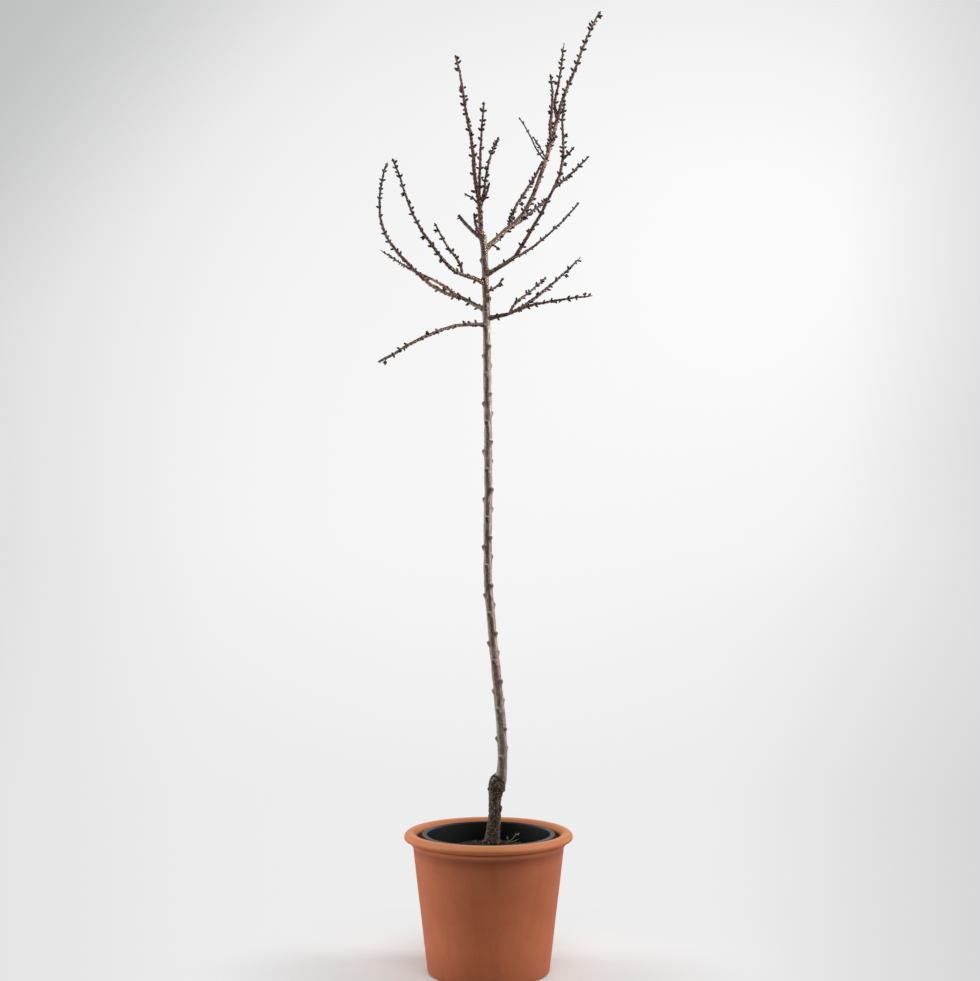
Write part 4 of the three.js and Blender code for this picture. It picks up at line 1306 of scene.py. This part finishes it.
stalk_points, stalk_edges, stalk_radii, blades = [], [], [], []
for seedling in SEEDLINGS:
    way = np.array(seedling["path"], float)
    first = len(stalk_points)
    for t in np.linspace(0, 1, STALK_STEPS + 1):
        spot = [part_way(way[:, k], t) for k in range(3)]
        stalk_points.append(spot)
        stalk_radii.append(0.75 - 0.25 * t)
    stalk_edges += [(i, i + 1) for i in range(first, first + STALK_STEPS)]
    for at, azimuth, rise in seedling["leaves"]:
        base = np.array([part_way(way[:, k], at) for k in range(3)])
        blades.append(leaf_blade(base, azimuth, rise))
stalk_green = dappled("stalk_green", (146, 148, 124), (170, 172, 148), **SOFT_GREEN)
stalks = marked_points(
    "seedling_stalks", stalk_points, stalk_edges, radius=np.array(stalk_radii) * MM,
    tone=[0] * len(stalk_points),
)
grown(stalks, dresser, Sides=STALK_SIDES, **{t: stalk_green for t in SHOOT_TONES})
smoothed(stalks.data)
stands_for(stalks, "shoots")
leaf_pale = dappled("leaf_pale", (164, 172, 166), (192, 198, 194), **SOFT_GREEN)
leaves = piece("seedling_leaves", *joined(blades), leaf_pale)
stands_for(leaves, "shoots")

# Buds: dark overlapping scales, plump at the base, alone or two or three at a node. One bud
# is turned from its listed profile, and Geometry Nodes set it at every node.
BUD_PROFILE = np.array((
    (0, -0.3), (0.24, -0.28), (0.27, -0.1), (0.45, 0.06), (0.5, 0.26), (0.46, 0.44),
    (0.49, 0.46), (0.41, 0.66), (0.43, 0.68), (0.28, 0.88), (0, 1.0),
))
BUD_SIDES = 6
BUD_SCALES = {
    "sheen": (0.6, 0.4), "wander": (260, 4, 0.6), "stops": (0.35, 0.7), "pits": (900, 3, 0.6),
    "depth": 0.0003,
}
BUD_TONES = {
    "Black": dappled("bud_black", (46, 40, 39), (62, 51, 47), **BUD_SCALES),
    "Olive": dappled("bud_olive", (58, 51, 45), (76, 66, 55), **BUD_SCALES),
    "Chestnut": dappled("bud_chestnut", (70, 46, 41), (92, 60, 50), **BUD_SCALES),
}
points, faces = turned(BUD_PROFILE, BUD_SIDES)
bud_form = piece("bud_form", points / MM, faces, BUD_TONES["Black"])

setter, inputs, ends = nodes_for(
    "set_buds", ("Bud", "Object"), *((t, "Material") for t in BUD_TONES)
)
form = add(setter, "GeometryNodeObjectInfo", {"Object": inputs["Bud"]}).outputs["Geometry"]
facing = add(
    setter, "FunctionNodeAlignRotationToVector", {"Vector": carried(setter, "aim", "FLOAT_VECTOR")},
    axis="Z",
)
laid = set_out(setter, inputs["Mesh"], form, facing, carried(setter, "size", "FLOAT_VECTOR"))
feed(setter, deal(setter, laid, inputs, BUD_TONES), ends[0])

seats, aims, widths, lengths, kinds = zip(*buds)
bud_piece = marked_points(
    "buds", seats, aim=aims, size=np.column_stack((widths, widths, lengths)) * MM, tone=kinds
)
grown(bud_piece, setter, Bud=bud_form, **BUD_TONES)
bpy.data.objects.remove(bud_form)
smoothed(bud_piece.data)
stands_for(bud_piece, "shoots")

# Camera and studio: the camera stands level in front of the trunk, as the photographer's did.
# The floor is pale paper near the pot, and further out it glows: an emission painted like the
# backdrop it runs into. The light is soft: a box at each side, one overhead, and a dim room in front.
CAMERA_AT = (0.003, -3.790, 0.998)
LENS = 67
FLOOR_REACH = 0.72
FLOOR_FADES_FROM = 0.26

camera = bpy.data.cameras.new("camera")
camera.lens = LENS
camera.sensor_fit = "VERTICAL"
camera.sensor_height = 36
camera.clip_end = 50
camera_object = placed("camera", camera)
camera_object.location = CAMERA_AT
camera_object.rotation_euler = (math.radians(90), 0, 0)
bpy.context.scene.camera = camera_object
bpy.context.scene.view_settings.view_transform = "Standard"


def backdrop_seen(tree, ray):
    """Colour of the backdrop along a direction from the camera: two glows that dim outwards."""
    raised = stretched(tree, vectors(tree, "MAXIMUM", ray, (-1, -1, -0.04))[0], (1, 1, 0.75))
    from_glow = vectors(tree, "DISTANCE", raised, (0.002, 1, 0.006))["Value"]
    from_second = vectors(tree, "DISTANCE", ray, (0.17, 1, 0.14))["Value"]
    to_corner = vectors(tree, "DOT_PRODUCT", ray, (-0.7, 0, 0.7))["Value"]
    across, _, rise = parts_of(tree, ray)
    edge = product(tree, share(tree, across, 0.19, 0.28, 0.36), share(tree, rise, -0.07, 0.02))
    foot = mixed(tree, share(tree, across, 0.12, 0.25), grey(0.8), (0.64, 0.64, 0.65, 1))
    glow = ramp(
        tree, share(tree, from_glow, 0.55, 0, kind="SMOOTHSTEP"), (0, (0.5, 0.5, 0.505, 1)),
        (0.8, (0.885, 0.885, 0.89, 1)), (1, (0.925, 0.925, 0.93, 1)),
    )
    return coated(
        tree, glow,
        (share(tree, from_second, 0.24, 0, 0.8, "SMOOTHSTEP"), grey(0.99)),
        (share(tree, to_corner, 0.22, 0.35, 0.6, "SMOOTHSTEP"), (0.42, 0.425, 0.43, 1)),
        (edge, (0.5, 0.5, 0.505, 1)),
        (share(tree, rise, -0.03, -0.16, 0.6), foot),
    )


paper, tree, shader, place = finish("pale_paper", 0.95, 0.1)
shader.inputs["Base Color"].default_value = grey(0.86)
away = vectors(tree, "NORMALIZE", vectors(tree, "SUBTRACT", place, CAMERA_AT)[0])[0]
painted = add(tree, "ShaderNodeEmission", {"Color": backdrop_seen(tree, away)})
fade = share(
    tree, vectors(tree, "LENGTH", place)["Value"], FLOOR_REACH * 0.98, FLOOR_FADES_FROM,
    kind="SMOOTHSTEP",
)
seen = add(tree, "ShaderNodeMixShader", {0: fade, 1: painted, 2: shader})
feed(tree, seen, tree.nodes["Material Output"].inputs["Surface"])
profile = np.array(((0, -20), (FLOOR_REACH / MM, -20), (FLOOR_REACH / MM, -0.2), (0, -0.2)))
floor = piece("floor", *turned(profile, 96), paper)
smoothed(floor.data, False)


def soft_box(name, at, target, size, power, spread=180):
    """Soft square lamp that faces a point and isn't seen itself."""
    light = bpy.data.lights.new(name, "AREA")
    light.spread = math.radians(spread)
    light.shape = "RECTANGLE"
    light.size, light.size_y = size
    light.energy = power
    made = placed(name, light)
    made.location = at
    made.rotation_euler = (Vector(at) - Vector(target)).to_track_quat("Z", "Y").to_euler()
    made.visible_camera = False


soft_box("left_soft_box", (-2.6, 0.3, 0.8), (0, 0, 0.7), (1.6, 2), 50)
soft_box("right_soft_box", (2.6, 0.1, 1.4), (0, 0, 1.0), (1.2, 2.4), 54)
soft_box("top_soft_box", (0.3, -2.2, 4.1), (0, 0, 0.3), (2.2, 2.2), 64)
soft_box("crown_soft_box", (2.4, -1.3, 1.6), (0, 0, 1.45), (0.4, 1.2), 1.6, 26)

world = bpy.data.worlds.new("studio")
world.use_nodes = True
tree = world.node_tree
ray = add(tree, "ShaderNodeTexCoord").outputs["Generated"]
from_front = share(tree, parts_of(tree, ray)["Y"], -0.6, 0.6)
room = ramp(tree, from_front, (0, grey(0.03)), (1, grey(0.7)))
is_seen = add(tree, "ShaderNodeLightPath").outputs["Is Camera Ray"]
shown = mixed(tree, is_seen, room, backdrop_seen(tree, ray))
feed(tree, shown, tree.nodes["Background"].inputs["Color"])
bpy.context.scene.world = world
